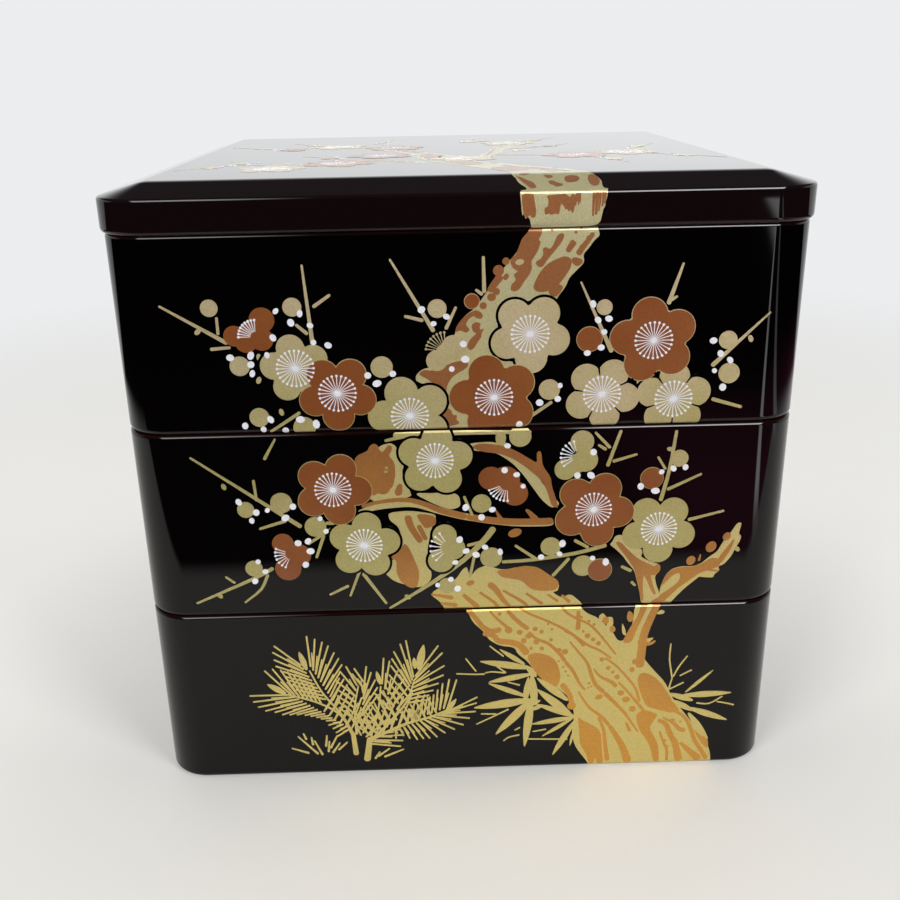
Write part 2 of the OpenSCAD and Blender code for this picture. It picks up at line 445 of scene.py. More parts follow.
def flat_stroke(bm, points, start, end):
    """A brush stroke with round ends along points, its width going from start to end."""
    height = lift(bm)
    path = [Vector((p.x, p.y, 0)) * MM + Vector((0, 0, height)) for p in curved(points)]
    steps = [0.0]
    for a, b in zip(path, path[1:]):
        steps.append(steps[-1] + (b - a).length)
    edge = None
    ends = []
    for i, place in enumerate(path):
        along = path[min(i + 1, len(path) - 1)] - path[max(i - 1, 0)]
        half = (start + (end - start) * steps[i] / steps[-1]) * MM / 2
        across = Vector((-along.y, along.x, 0)).normalized() * half
        if edge is None:
            left, right = bm.verts.new(place + across), bm.verts.new(place - across)
            edge = bm.edges.new((left, right))
            ends.append(([left, right], start))
            continue
        made = bmesh.ops.extrude_edge_only(bm, edges=[edge])["geom"]
        edge = next(g for g in made if isinstance(g, bmesh.types.BMEdge))
        left, right = sorted(edge.verts, key=lambda v: (v.co - left.co).length)
        left.co = place + across
        right.co = place - across
    ends.append(([left, right], end))
    for corners, width in ends:
        bmesh.ops.bevel(bm, geom=corners, offset=END_ROUND * width * MM, offset_type="OFFSET", segments=3,
                        profile=0.5, affect="VERTICES", clamp_overlap=True, material=-1)


def flat_blossom(bm, x, y, radius, turn, grow=0.0):
    """A plum blossom: a circle whose rim is moved out to five round petals, grown by a margin."""
    rim = flat_disc(bm, x, y, radius, segments=80)["verts"]
    centre = Vector((x * MM, y * MM, rim[0].co.z))
    lobe, far = PETAL_SHARE * radius + grow, PETAL_PLACE * radius
    for vert in rim:
        out = vert.co - centre
        angle = math.degrees(math.atan2(out.y, out.x)) - turn
        swing = math.radians((angle + 36) % 72 - 36)
        reach = far * math.cos(swing) + math.sqrt(lobe ** 2 - (far * math.sin(swing)) ** 2)
        vert.co = centre + out.normalized() * reach * MM


def flat_stamens(bm, x, y, reach, first=0, last=360, count=24, inner=0.0):
    """Stamens that fan out from a point, each a thin stroke with a round tip."""
    span = (last - first) / (count if last - first == 360 else count - 1)
    for i in range(count):
        angle = math.radians(first + i * span)
        out = Vector((math.cos(angle), math.sin(angle)))
        tip = out * reach
        root = out * inner
        flat_stroke(bm, [(x + root.x, y + root.y), (x + tip.x, y + tip.y)], STAMEN_ROOT, STAMEN_END)
        flat_disc(bm, x + tip.x, y + tip.y, STAMEN_HEAD, segments=8)


def cut_at(bm, height, clear=0):
    """Cuts the flat drawing along a level. Clear drops what lies above (1) or below (-1)."""
    everything = list(bm.verts) + list(bm.edges) + list(bm.faces)
    bmesh.ops.bisect_plane(bm, geom=everything, dist=1e-7, plane_co=(0, height, 0), plane_no=(0, 1, 0),
                           clear_outer=clear > 0, clear_inner=clear < 0)


def wall_depth(height, foot, rim):
    """How far the wall's face has curved back at a height near the foot or rim."""
    for radius, distance in ((FOOT_ROUND, height - foot), (RIM_ROUND, rim - height)):
        if distance < radius:
            return radius - math.sqrt(max(0.0, radius ** 2 - (radius - distance) ** 2))
    return 0.0


def thicken(bm, depth):
    """Makes the flat drawing a plate of the given thickness."""
    bmesh.ops.dissolve_degenerate(bm, dist=0.002 * MM, edges=bm.edges)
    made = bmesh.ops.extrude_face_region(bm, geom=list(bm.faces))["geom"]
    fronts = [g for g in made if isinstance(g, bmesh.types.BMVert)]
    bmesh.ops.translate(bm, vec=(0, 0, depth * MM), verts=fronts)


def lay_on_front(name, bm, tier, depth, material):
    """Thickens a flat drawing, lays it on the tier's front and curves it round the foot and rim."""
    low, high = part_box(f"{tier}_front_board")
    foot, rim = low.z, high.z
    lowest, highest = foot + PAINT_FOOT_GAP, rim - PAINT_RIM_GAP
    cut_at(bm, lowest, -1)
    cut_at(bm, highest, 1)
    for part in (0.2, 0.4, 0.65, 1):
        cut_at(bm, lowest + part * FOOT_ROUND)
        cut_at(bm, highest - part * RIM_ROUND)
    thicken(bm, depth)
    bmesh.ops.rotate(bm, matrix=Matrix.Rotation(math.pi / 2, 3, "X"), verts=bm.verts)
    for vert in bm.verts:
        vert.co.y += low.y + PAINT_SINK + wall_depth(vert.co.z, foot, rim)
    piece = finished_piece(f"{tier}_tier_{name}", bm, [material], f"{tier}_tier", sharp=PLATE_SHARP)


def lid_profile():
    """The lid's front profile from its foot to its top, as (unrolled place, point) pairs.

    The unrolled place is the lid's y as if band and bevel were folded up level with the top.
    """
    low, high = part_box("lid_panel")
    edge, top = low.y + PAINT_ROOM, high.z - PAINT_ROOM
    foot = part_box("lid_front_rail")[0].z
    corners = [Vector((edge + 3 * MM, foot)), Vector((edge, foot)), Vector((edge, top - BEVEL_RISE)),
               Vector((edge + BEVEL_INSET, top)), Vector((-edge - BEVEL_INSET, top))]
    lengths = [(b - a).length for a, b in zip(corners, corners[1:])]
    place = corners[3].x - lengths[2] - lengths[1]
    profile = []
    for i, radius in ((1, LID_FOOT_ROUND), (2, LID_EDGE_ROUND), (3, LID_TOP_ROUND)):
        into = (corners[i] - corners[i - 1]).normalized() * radius
        onward = (corners[i + 1] - corners[i]).normalized() * radius
        for step in range(ARC_STEPS + 1):
            t = step / ARC_STEPS
            point = corners[i] - into * (1 - t) ** 2 + onward * t ** 2
            profile.append((place + radius * (t ** 2 - (1 - t) ** 2), point))
        place += lengths[i]
    profile.append((corners[4].x, corners[4]))
    return profile


def lay_on_lid(name, bm, depth, material):
    """Thickens a flat drawing and folds it over the lid's band, bevel and top."""
    profile = lid_profile()
    cut_at(bm, profile[1][0], -1)
    for place, _ in profile[2:-1]:
        cut_at(bm, place)
    thicken(bm, depth)
    for vert in bm.verts:
        i = next(i for i in range(1, len(profile)) if vert.co.y <= profile[i][0] + 1e-6)
        (start, a), (end, b) = profile[i - 1], profile[i]
        t = (vert.co.y - start) / (end - start)
        before = (b - profile[max(i - 2, 0)][1]).normalized()
        after = (profile[min(i + 1, len(profile) - 1)][1] - a).normalized()
        along = before.lerp(after, t).normalized()
        point = a.lerp(b, t) + Vector((-along.y, along.x)) * (vert.co.z - PAINT_SINK)
        vert.co = (vert.co.x, point.x, point.y)
    piece = finished_piece(f"lid_{name}", bm, [material], "lid", sharp=PLATE_SHARP)


def powder(name, tone, warm, metal, roughness, fade=(0.40, 0.62), by_height=False):
    """Metal powder sprinkled on lacquer and coated clear: fine grain, and a drift to a warmer tone.

    The drift goes by slow noise, or by_height, where it goes with the height above the table.
    On the blossom gold the height drift is a painted sheen: lighter and paler higher up.
    """
    material, tree, shader = new_material(name)
    shader.inputs["Metallic"].default_value = metal
    shader.inputs["Roughness"].default_value = roughness
    shader.inputs["Coat Weight"].default_value = 0.66
    shader.inputs["Coat Roughness"].default_value = 0.06
    shader.inputs["Coat IOR"].default_value = 1.36
    drift = noise_field(tree, scale=45, detail=2)
    if by_height:
        uneven = times(tree, math_node(tree, "SUBTRACT", drift, 0.5), 0.09)
        drift = math_node(tree, "ADD", axes(tree, object_place(tree))["Z"], uneven)
    grain = noise_field(tree, scale=3200, detail=1)
    base = ramp(tree, drift, [(fade[0], tone), (fade[1], warm)])
    sparkle = ramp(tree, grain, [(0.3, (0.86, 0.86, 0.86)), (0.7, (1.1, 1.1, 1.1))])
    tree.links.new(mix_colours(tree, 1, base, sparkle, "MULTIPLY"), shader.inputs["Base Color"])
    tree.links.new(bump(tree, grain, strength=0.25, distance=0.00005), shader.inputs["Normal"])
    return material


# The blossom gold turns lighter and paler from 105 to 150 mm above the table: a painted sheen on the upper
# tiers.
GOLD = powder("gold_powder", (0.44, 0.38, 0.145), (0.56, 0.455, 0.265), 0.35, 0.42, (0.105, 0.15), True)
TRUNK_GOLD = powder("trunk_gold_powder", (0.59, 0.47, 0.148), (0.52, 0.475, 0.265), 0.4, 0.42,
                    (0.05, 0.15), True)
BROWN = powder("brown_powder", (0.235, 0.070, 0.017), (0.26, 0.084, 0.021), 0.25, 0.40)
BARK = powder("bark_brown_powder", (0.55, 0.26, 0.030), (0.31, 0.12, 0.042), 0.35, 0.40,
              (0.02, 0.12), True)
WHITE = powder("white_paint", (0.84, 0.84, 0.90), (0.86, 0.86, 0.90), 0.0, 0.45)

# The painted plates, from the lowest up: thickness in mm and material
PLATES = {
    "trunk": (0.10, TRUNK_GOLD), "twigs": (0.14, GOLD), "bark": (0.13, BARK),
    "dark_outlines": (0.17, DARK_LACQUER), "petal_rims": (0.19, GOLD), "gold_blossoms": (0.21, GOLD),
    "brown_blossoms": (0.24, BROWN), "petal_gaps": (0.26, DARK_LACQUER), "white_stamens": (0.30, WHITE)}
PINE_THICKNESS, BAMBOO_THICKNESS = 0.11, 0.12
# On the lid, which is seen at a flat angle, the plates are thinner by this share
LID_SHARE = 0.4


# Where each motif is, in mm. A blossom is (x, y, radius, turn), and a bud, a leaf knot or one petal of
# a half-open blossom is (x, y, radius). Outlined and parted number the gold blossoms, then the brown.
# A twig or bark stroke is (start width, end width, points), and a bark disc is (x, y, radius), with its
# length for its width and its turn where it is oval. A fan of stamens is (x, y, reach, first angle,
# last angle, count, inner radius). Trunk and bark are outlines.

TOP = {
    "gold_blossoms": [
        (-46.4, 137.1, 9.8, 28), (-15, 122.4, 11.9, 36), (18.9, 145.4, 11.3, 57), (39.4, 127.5, 10.8, 62),
        (59.8, 125.6, 10.8, 18),
    ],
    "outlined": [2, 4, 3, 0, 1],
    "parted": [4, 3],
    "brown_blossoms": [(-35.1, 129.6, 11, 54), (8.9, 127.3, 12.6, 34), (53.3, 142.8, 12.2, 29)],
    "gold_halves": [(-2.2, 142.1, 3.5), (-7, 138.4, 3), (-4.6, 140.6, 2.6)],
    "brown_halves": [
        (-62.5, 146.7, 2.9), (-54.6, 151, 3.5), (-55, 145.6, 3.2), (-59.4, 144.9, 3), (-58, 147.6, 3),
    ],
    "gold_buds": [
        (-68.6, 154.6, 2.4), (-46.1, 154.4, 2.6), (-61.7, 138.1, 2.8), (-57.5, 123, 2.8), (-45, 119.6, 3.2),
        (-22.4, 136.9, 3.1), (-6.6, 153.1, 2.6), (24.5, 129.2, 3), (39.3, 152.4, 2.2), (74.1, 142.4, 2.6),
        (75.1, 132.8, 3),
    ],
    "brown_buds": [(35.4, 143.5, 3.5), (2.9, 154.9, 2)],
    "dots": [
        (-50.6, 153.4), (-44.1, 152.6), (-46.7, 150.1), (-41.5, 149.2), (-51.9, 146), (-53.9, 141.1),
        (-40.9, 144.4), (-36.9, 143.5), (-58.4, 141.1), (-64.1, 140.6), (-58.6, 138.5), (-58.4, 135.9),
        (-61.7, 120.6), (-56.6, 119.4), (-54.4, 122.3), (-46, 122.1), (-50.4, 118.9), (-41.6, 120.6),
        (-26.4, 134.6), (-19.4, 134.9), (-23.9, 132.2), (-10.9, 152.9), (-4.1, 150.8), (-7.7, 148.9),
        (0.4, 143), (0.9, 138.6), (-2.9, 135.9), (27.5, 130.3), (26.9, 126.4), (21.8, 125.4), (16.1, 119),
        (36.1, 153.4), (40.6, 149.2), (37.6, 148.9), (39.4, 145.5), (38.7, 141.1), (34.9, 139.6),
        (70, 142.3), (72.3, 138.5), (75.1, 136.6), (70.9, 133.6), (73.6, 128.7),
    ],
    "twigs": [
        (0.6, 1.2, [(-82.1, 155.5), (-64.4, 144.6)]), (0.7, 0.8, [(-66.8, 152.1), (-66.8, 147.1)]),
        (1, 0.8, [(-69.4, 143.1), (-63.7, 143.5)]), (0.6, 1.2, [(-42.7, 165.9), (-41.2, 144.6)]),
        (0.8, 1, [(-35.5, 157.6), (-40.5, 154.2)]), (0.8, 1, [(-45.5, 149.6), (-42.3, 146.7)]),
        (0.8, 1, [(-54.8, 118.5), (-45.9, 124.2)]), (0.6, 1.2, [(-19.1, 166.9), (-7.6, 146.6)]),
        (0.8, 1, [(-15.7, 151.2), (-10.4, 149.8)]), (0.7, 1, [(-1.4, 153.5), (-4.4, 147.2)]),
        (0.8, 1.1, [(6.1, 167.1), (6.3, 157.1)]), (0.7, 1, [(3.9, 158.1), (5.9, 156.6)]),
        (0.9, 1, [(25.4, 125.6), (16.8, 119.6)]), (0.5, 1.3, [(32.6, 159.6), (41.8, 139.6)]),
        (0.6, 1.3, [(60.4, 164.2), (56.8, 152.8)]), (0.6, 1, [(59.3, 155.1), (57.4, 153.9)]),
        (1, 1.1, [(54.6, 135.3), (49.3, 130.3)]), (0.5, 1.3, [(85.4, 150.1), (70, 134.9)]),
        (0.9, 1.1, [(79.6, 122.6), (70.7, 125.3)]),
    ],
    "leaves": [
        (-72.3, 148.1, 0.7), (-56.2, 140.5, 0.7), (-56.8, 133.9, 0.7), (-51.2, 124.4, 0.7),
        (80.4, 142.6, 0.7), (15.9, 165.3, 0.8),
    ],
    "trunk": [
        [(19.6, 174.4), (17.4, 171.2), (15.2, 168), (13.4, 166), (11.8, 164), (10.2, 161.6), (8.6, 159.6),
         (7, 157.4), (5.6, 155.4), (3.6, 152.8), (0.9, 150.9), (-0.9, 148.4), (-1.9, 146), (-2.6, 141),
         (-6, 137), (-11, 136.1), (-12.9, 134.4), (-13.1, 132.8), (-11.4, 131.8), (-8, 131), (-6, 127),
         (-6.8, 122), (-7, 117), (6, 117), (12, 125), (20, 140), (24, 150), (26.2, 155.4), (28.4, 158.2),
         (29.4, 160.8), (31.4, 162.8), (33.4, 164.8), (33, 167), (34.6, 168.8), (35.8, 170.6), (37.4, 172),
         (36.8, 173.6), (37.1, 175)],
    ],
    "bark": [
        [(18.9, 174.6), (22, 174.6), (21.7, 172.4), (20.9, 171.2), (21.6, 170.6), (20.9, 168.4),
         (19.8, 166.6), (19, 165.4), (19.3, 163.4), (18.3, 161.4), (17, 159.8), (16, 158), (14.7, 157.2),
         (13.4, 157.7), (13.7, 159.3), (15, 160.5), (14.2, 162), (15.6, 162.8), (14.2, 163.5),
         (13.4, 164.9), (13.5, 166.3), (14.9, 167.4), (15.7, 169.4), (16.5, 171.6), (17.9, 173)],
        [(26, 172.3), (27.3, 172.9), (27.9, 172.2), (27.3, 170.6), (25.7, 168.5), (24.3, 166.9),
         (23, 165.2), (22.1, 163.8), (20.9, 163.8), (20, 165.2), (21.5, 166), (22.3, 167.2), (22, 168.6),
         (22.8, 169.3), (23.9, 168.5), (24.9, 169.7), (25.4, 171)],
        [(19.5, 158.1), (20.3, 160.4), (21.5, 162.6), (23.1, 164.4), (25.1, 165.6), (27.9, 166.7),
         (29.5, 166.2), (30.1, 165.2), (29.6, 163.2), (28.3, 161.2), (27, 159.4), (25.5, 158), (23.2, 157),
         (20.8, 157)],
        [(29.9, 166.1), (31, 166.3), (32.9, 165.7), (32.9, 164.5), (31.5, 163.7), (30.1, 164.5)],
        [(23.6, 157.2), (25.4, 158.2), (26.6, 159.2), (27.9, 158.4), (27.1, 156.7), (25.7, 155.5),
         (24.3, 156)],
        [(-1.9, 146.2), (-1.3, 148.2), (0.3, 150.2), (2, 151.6), (3.9, 152.5), (5.1, 152), (6, 151),
         (5.5, 149.9), (4.1, 150.1), (3.3, 150.9), (1.9, 149.9), (1.1, 148.3), (2.4, 147), (1.3, 146),
         (-0.3, 146.9)],
        [(2.7, 148.3), (3.9, 149.2), (5.4, 148.7), (4.9, 147.5), (5.5, 146.3), (4.1, 145.9), (3, 146.5)],
        [(1.3, 142.2), (2.3, 141), (3.5, 141.8), (4.3, 143.3), (5.4, 144.7), (5.5, 145.9), (6.3, 147.3),
         (4.9, 146.9), (3.5, 145.3), (2.3, 144.3)],
        [(-12.3, 134.5), (-10.9, 135.9), (-8.7, 135.5), (-6.3, 135.9), (-4, 137.2), (-1.9, 138), (1, 138.2),
         (2, 137), (0.5, 135.5), (-1.9, 134.3), (-3.3, 132.9), (-4.3, 131), (-4.5, 129.3), (-6, 127.9),
         (-7.3, 128.3), (-7.4, 129.9), (-6.7, 131.5), (-8.3, 131.9), (-9.7, 133.1)],
        [(-7, 119), (-6.1, 120.6), (-6.5, 123), (-6, 125.9), (-4.7, 127.5), (-3.3, 127.1), (-3.7, 125.5),
         (-4.7, 124.7), (-3.1, 123.7), (-2.9, 122.3), (-1.5, 122.3), (-1.9, 120.9), (-0.7, 119.9),
         (-2.9, 119)],
    ],
    "bark_strokes": [
        (1.9, 1.4, [(30.6, 170.6), (29.6, 169.2), (28.7, 167.7)]),
        (1.2, 1.7, [(35.7, 172.7), (34.3, 170.8), (32.7, 168.7), (31.5, 166.9)]),
        (2.2, 1.7, [(10.9, 161.8), (9.2, 159.6), (7.6, 157.4)]), (1.2, 1.6, [(12.7, 162.2), (11.7, 160.6)]),
    ],
    "bark_discs": [
        (12.2, 165.6, 1), (10.2, 163.1, 1.5, 1, 70), (9.6, 157.4, 1), (8.3, 155.9, 1.1, 1.1), (6, 153.6, 1),
        (3, 155.2, 1.5, 1.3, 100), (32.7, 168.9, 0.8), (34.5, 171.3, 0.8), (30.9, 172.9, 0.4),
        (32.3, 174, 0.35), (24.5, 173.6, 0.35),
    ],
    "gold_fans": [(-4.6, 141, 5.4, 92, 172, 8, 1.6)],
    "white_fans": [(-56.6, 146.4, 4.7, 90, 180, 9, 1.4)],
}

MIDDLE = {
    "gold_blossoms": [(-29.8, 82.1, 10.8, 10), (-8.2, 108.6, 11, 12), (57.9, 85.1, 11.2, 54)],
    "outlined": [0, 1],
    "brown_blossoms": [(-38.1, 100.3, 11.3, 68), (38.2, 91.9, 12, 64)],
    "gold_halves": [
        (-5.9, 84.7, 3.6), (-3.6, 80.4, 3.8), (-7.1, 76.5, 3.9), (34.3, 113.3, 3.4), (35.4, 107.6, 3.6),
        (29.6, 104.8, 3.2), (33, 106.6, 3),
    ],
    "half_outlines": [(-5.9, 84.7, 4.4), (-3.6, 80.4, 4.4), (-7.1, 76.5, 4.7)],
    "brown_halves": [
        (-53.9, 83.4, 3.2), (-52.9, 75.1, 3.9), (-49.4, 79.4, 3.6), (-52, 79.6, 2.6), (7.9, 102.6, 3.6),
        (12.1, 101.9, 4.3), (15, 97.6, 3.8), (12.6, 99, 2.6),
    ],
    "white_fans": [
        (-4.6, 80.6, 5.6, 120, 225, 7, 2.4), (33, 108.8, 4.8, 104, 216, 8, 1.6),
        (-51.6, 80, 4.8, 158, 245, 7, 1.8), (12.6, 101, 5.6, 202, 272, 7, 2.2),
    ],
    "gold_buds": [
        (-63.9, 94.6, 2.5), (-53.4, 96.5, 3.2), (-43.9, 88.6, 3.2), (-63.1, 75.4, 2.6), (5.1, 94.7, 2.9),
        (16.4, 115.4, 3.2), (7.9, 77, 3.3), (-5.5, 67.9, 2.6), (25.7, 80.1, 3), (62.7, 107.4, 2.6),
        (35.6, 73.4, 3.4),
    ],
    "brown_buds": [(55, 101.4, 3.3), (40.7, 71.9, 3.6)],
    "dots": [
        (-65.7, 97.1), (-60.9, 93.7), (-62.4, 91.1), (-57.6, 94.3), (-52.5, 91.7), (-50.1, 95.3),
        (-42.4, 91.2), (-40.9, 87.1), (-49.4, 83.4), (-46.4, 84), (-45.9, 80.7), (-47.6, 76.3),
        (-61.7, 77.6), (-59.8, 74.3), (-63.1, 71.2), (0.5, 93.6), (8.3, 92.7), (5.1, 90.3), (11.9, 105.1),
        (15.4, 103.6), (17.3, 99.9), (12.7, 112.6), (-1.5, 83.2), (0.4, 79.4), (3.4, 78.1), (-2.9, 75.7),
        (6.1, 80.5), (10.6, 78.8), (-4.3, 70), (-8.3, 68.2), (-2.3, 66.8), (29.2, 81), (28.4, 77.6),
        (22.9, 76.7), (37.6, 110), (33.1, 102.9), (37.1, 102.8), (57.7, 103.3), (51.8, 98.9), (56.2, 97.4),
        (61.1, 104.3), (64.6, 104.6), (38.4, 75.9), (42.4, 74.5),
    ],
    "twigs": [
        (1, 0.6, [(-57.3, 110.1), (-53.6, 116.5)]), (0.6, 1.3, [(-78.5, 111.4), (-48, 88.6)]),
        (0.8, 0.8, [(-60.9, 104), (-60.5, 97.2)]), (0.8, 1, [(-60.5, 88.3), (-52.3, 90.8)]),
        (1, 1, [(-40.9, 89.7), (-35.5, 89.3)]), (0.8, 1, [(-46.6, 82.9), (-38, 88.6)]),
        (0.8, 1, [(-44.3, 78.3), (-41.6, 85.8)]), (0.7, 1.2, [(-81.4, 64.1), (-63.7, 71.9), (-57.3, 75.4)]),
        (0.7, 0.8, [(-71.9, 72.9), (-69.1, 70.6)]), (0.6, 1, [(-66.9, 63.9), (-61.6, 68.3), (-59.1, 73.3)]),
        (0.7, 0.9, [(-34.9, 65.1), (-31.2, 74.7)]), (0.8, 1.1, [(-23.9, 62.2), (-30.7, 72.9)]),
        (0.7, 0.9, [(-41.1, 65.8), (-35.1, 68.8)]), (0.8, 0.8, [(0, 97.2), (2.5, 90.8)]),
        (0.8, 1.2, [(-22.5, 115), (-15.7, 116.5)]),
        (2, 0.7, [(8.9, 86.9), (5.7, 82.6), (-0.7, 76.1), (-10, 69), (-23.2, 60.6)]),
        (1, 0.9, [(0.7, 81.1), (5, 82.2)]), (0.9, 0.9, [(2.9, 77.6), (1.4, 70.4)]),
        (0.8, 1, [(15, 80.8), (21.4, 76.1)]),
        (1, 1.2, [(11.1, 75.4), (20, 75.8), (33, 77.6), (42.5, 80.1)]),
        (1, 1, [(31.4, 76.1), (26.4, 70.1)]), (1, 1, [(32.7, 82), (37.1, 79.4)]),
        (0.9, 1.1, [(45.4, 116.5), (41.8, 105.4)]), (0.7, 1, [(37.9, 116.1), (42.5, 111.1)]),
        (0.7, 1, [(38.9, 112.2), (41.4, 110.6)]), (0.7, 1, [(50.4, 109), (43.2, 106.9)]),
        (0.9, 1.2, [(61.4, 116.1), (60, 104), (57.9, 94)]), (0.7, 0.8, [(56.4, 108.1), (58.9, 104)]),
        (0.7, 1, [(69.6, 102.4), (59.6, 97.6)]), (0.7, 1, [(77.1, 90.4), (66.4, 87.7)]),
        (1, 1, [(47.1, 72.9), (50.4, 71.1)]), (0.9, 0.8, [(50.4, 67.6), (51.8, 66.1)]),
        (1.6, 1, [(-20, 116.6), (0, 116.9), (19.6, 116.6)]), (3.6, 1.7, [(10.8, 116.6), (10.8, 111)]),
    ],
    "leaves": [
        (-69.6, 102, 0.7), (-74.1, 66.5, 0.7), (-17.5, 64.4, 0.7), (59.9, 110.3, 0.7), (81.9, 77.7, 0.7),
        (-22.3, 106.7, 0.35), (-22.5, 105.5, 0.4),
    ],
    "trunk": [
        [(-24.3, 113.5), (-19.9, 114.5), (-17, 108.2), (-18, 104.8), (-15.6, 99), (-15.3, 97.4),
         (-25.8, 95.4), (-30, 100), (-28, 108)],
        [(-22.4, 92.5), (-16, 93), (-9, 91.8), (-8.2, 90.8), (-9.6, 87.6), (-11.4, 79), (-10, 72.2),
         (-10.4, 69.7), (-13.6, 67.2), (-21.4, 69.7), (-24.6, 73.3), (-20, 79), (-18.5, 84), (-19.5, 88),
         (-22, 90)],
        [(-7.1, 61.9), (-11.1, 65.4), (-2.9, 69.7), (-0.7, 73.3), (0.7, 74.1), (1.4, 70.4), (3.6, 73.3),
         (6.4, 74.4), (11.4, 72.6), (16.4, 73.6), (20.7, 72.9), (24.3, 69.7), (28.6, 67.6), (28.2, 65.1),
         (26.4, 64.7), (29.3, 62.6), (32.1, 64), (35.7, 60.5), (36, 58), (-6, 58)],
        [(-15, 98.6), (-8.6, 98.3), (-5, 98.9), (-1.4, 97.6), (-0.9, 94), (-3.6, 92.9), (-7.9, 94.4)],
        [(-31.1, 92.4), (-24.3, 93.8), (-15, 94.4), (-7.9, 91.8), (-0.7, 89.7), (7.9, 88), (16.4, 86.9),
         (26.4, 86.8), (26.4, 89), (16.4, 89), (7.9, 90.1), (-0.7, 91.9), (-7.9, 94.1), (-15, 96.7),
         (-24.3, 96), (-31, 93.6)],
        [(1, 113.6), (9.3, 114), (16, 110.4), (20, 105.6), (22.6, 101.2), (25.6, 97), (28.4, 93.8),
         (25.8, 92.6), (22.8, 95.4), (20, 99.6), (17, 104), (13.8, 107.6), (9, 110.8), (2, 111.4)],
        [(43.4, 80.2), (44.2, 81.1), (44.9, 82.9), (46.4, 83.4), (47.6, 82.7), (49.6, 79.5), (51.6, 78.4),
         (53, 78.6), (53.4, 77.2), (53, 76), (53.9, 75.3), (55.7, 74.3), (59.1, 73), (59.1, 71),
         (57.5, 69.2), (58.1, 66.4), (59.3, 63.3), (59.8, 59.4), (53.9, 59.6), (53.3, 63.1), (52.3, 67.3),
         (51.2, 71.4), (49.2, 73.8), (47.6, 76.2), (45.4, 78.6)],
        [(59.2, 62.9), (59.5, 65.7), (60.7, 69.4), (62.4, 71.4), (65.1, 72.3), (69.3, 72.2), (71.7, 73.3),
         (73.7, 75.3), (76, 77), (77.4, 80), (79.4, 82.9), (81.4, 86.3), (82.6, 86.3), (82.4, 84.8),
         (82, 82.8), (82.9, 81.9), (82.5, 80.2), (81.5, 78.2), (80.3, 75.2), (78.3, 72.6), (76.6, 72),
         (77.2, 70.6), (75.7, 69.4), (75.4, 68.2), (72.6, 68.4), (71.1, 68.7), (69.7, 67.4), (66.8, 64.8),
         (63.3, 60.7), (62.8, 59.2), (58.5, 59.3)],
    ],
    "bark": [
        [(-31.5, 109.4), (-30.3, 110.9), (-28.7, 111.5), (-27.5, 112.1), (-26.9, 113.5), (-25.7, 114.3),
         (-24.5, 113.7), (-24.1, 112.3), (-23.3, 111.5), (-22.3, 112.7), (-21.3, 113.9), (-20.3, 113.1),
         (-20.7, 111.7), (-21.5, 110.5), (-20.7, 109.5), (-19.9, 108.3), (-19.7, 105.1), (-20.1, 102.9),
         (-20.5, 101.1), (-21.5, 99.9), (-22.3, 98.7), (-23.7, 98.3), (-25.1, 98.9), (-26.1, 98.1),
         (-27.5, 98.3), (-28.1, 97.1), (-32, 100)],
        [(-20.4, 99), (-19, 101.8), (-17.8, 101.4), (-18, 98.2), (-19.6, 97.7)],
        [(9.3, 72.6), (13.6, 72.9), (17.9, 74), (22.1, 73.3), (25.7, 70.4), (28.6, 68.3), (27.9, 65.4),
         (23.6, 65.1), (20, 65.8), (17.1, 69), (13.6, 69.7), (10.7, 70.4)],
        [(-17.9, 82.6), (-16.6, 81.1), (-15, 76.9), (-13.6, 72.6), (-14.3, 67.9), (-16.4, 67.2),
         (-19.6, 69.7), (-20.7, 73.3), (-20.4, 76.9), (-22.1, 77.6), (-21.4, 79), (-19.6, 79.7)],
        [(-14.4, 92), (-9.3, 91.4), (-8.2, 90), (-8.6, 88), (-11.6, 87), (-12.6, 88.6)],
        [(45, 80.8), (45.9, 81.2), (47, 80.7), (49.7, 77.6), (52.8, 74.8), (55.9, 73.3), (57.3, 72.5),
         (58, 73.3), (59.1, 72.8), (59.1, 71), (57.6, 69.3), (56.1, 69.9), (57.3, 65.7), (58.3, 63.1),
         (57.6, 62.7), (56.3, 65.1), (55.3, 67.5), (54.1, 69.9), (54, 65.8), (54.6, 61), (53.9, 60.7),
         (53.3, 63.1), (52.2, 68), (51.3, 71.7), (48.9, 75.5)],
        [(59.5, 65.5), (60.4, 68.7), (62.1, 71.2), (65.1, 72.1), (69.3, 72.1), (72, 73.3), (74, 74.9),
         (76.4, 74.8), (77.3, 73.3), (76.7, 71.8), (74.3, 71), (71, 69.8), (68.4, 67.6), (64.9, 65),
         (62.5, 62.3), (61, 60.8), (58.4, 60.9), (59.5, 62.9), (62.5, 65), (64.8, 67), (65.3, 68.9),
         (64.9, 70.2), (63.1, 69.5), (61.1, 67.3)],
        [(76.2, 74), (77.2, 76.1), (78.6, 78.1), (79.7, 79.6), (80.6, 81.2), (80.9, 80.5), (80.1, 77.9),
         (78.6, 74.9), (77.2, 72.8)],
        [(57.2, 60.9), (58.4, 61.7), (60.9, 62.3), (61.5, 60.8), (59.7, 59.4), (56.6, 59.5)],
        [(2.1, 112.6), (5, 113.6), (10.7, 112.9), (15, 111.1), (19.3, 108.3), (21.4, 106.9), (21.1, 110.4),
         (22.5, 110.8), (22.9, 106.1), (25.4, 102.6), (25.7, 99.7), (27.1, 95.4), (27.9, 92.6),
         (25.7, 93.3), (24.6, 97.4), (23.2, 101), (20.6, 103.6), (17.4, 106.4), (14.6, 108.4),
         (10.7, 110.2), (5, 111)],
    ],
    "bark_discs": [
        (74, 78.6, 1.5, 1.25, 60), (78.5, 81.9, 1.1, 1.3, 60), (68.2, 74.2, 1.3, 1.2, 60),
        (15, 84.9, 1.3, 1.6, 20), (1.6, 68.6, 0.9, 1.4, 20), (-2, 66.6, 0.8),
    ],
    "bark_strokes": [
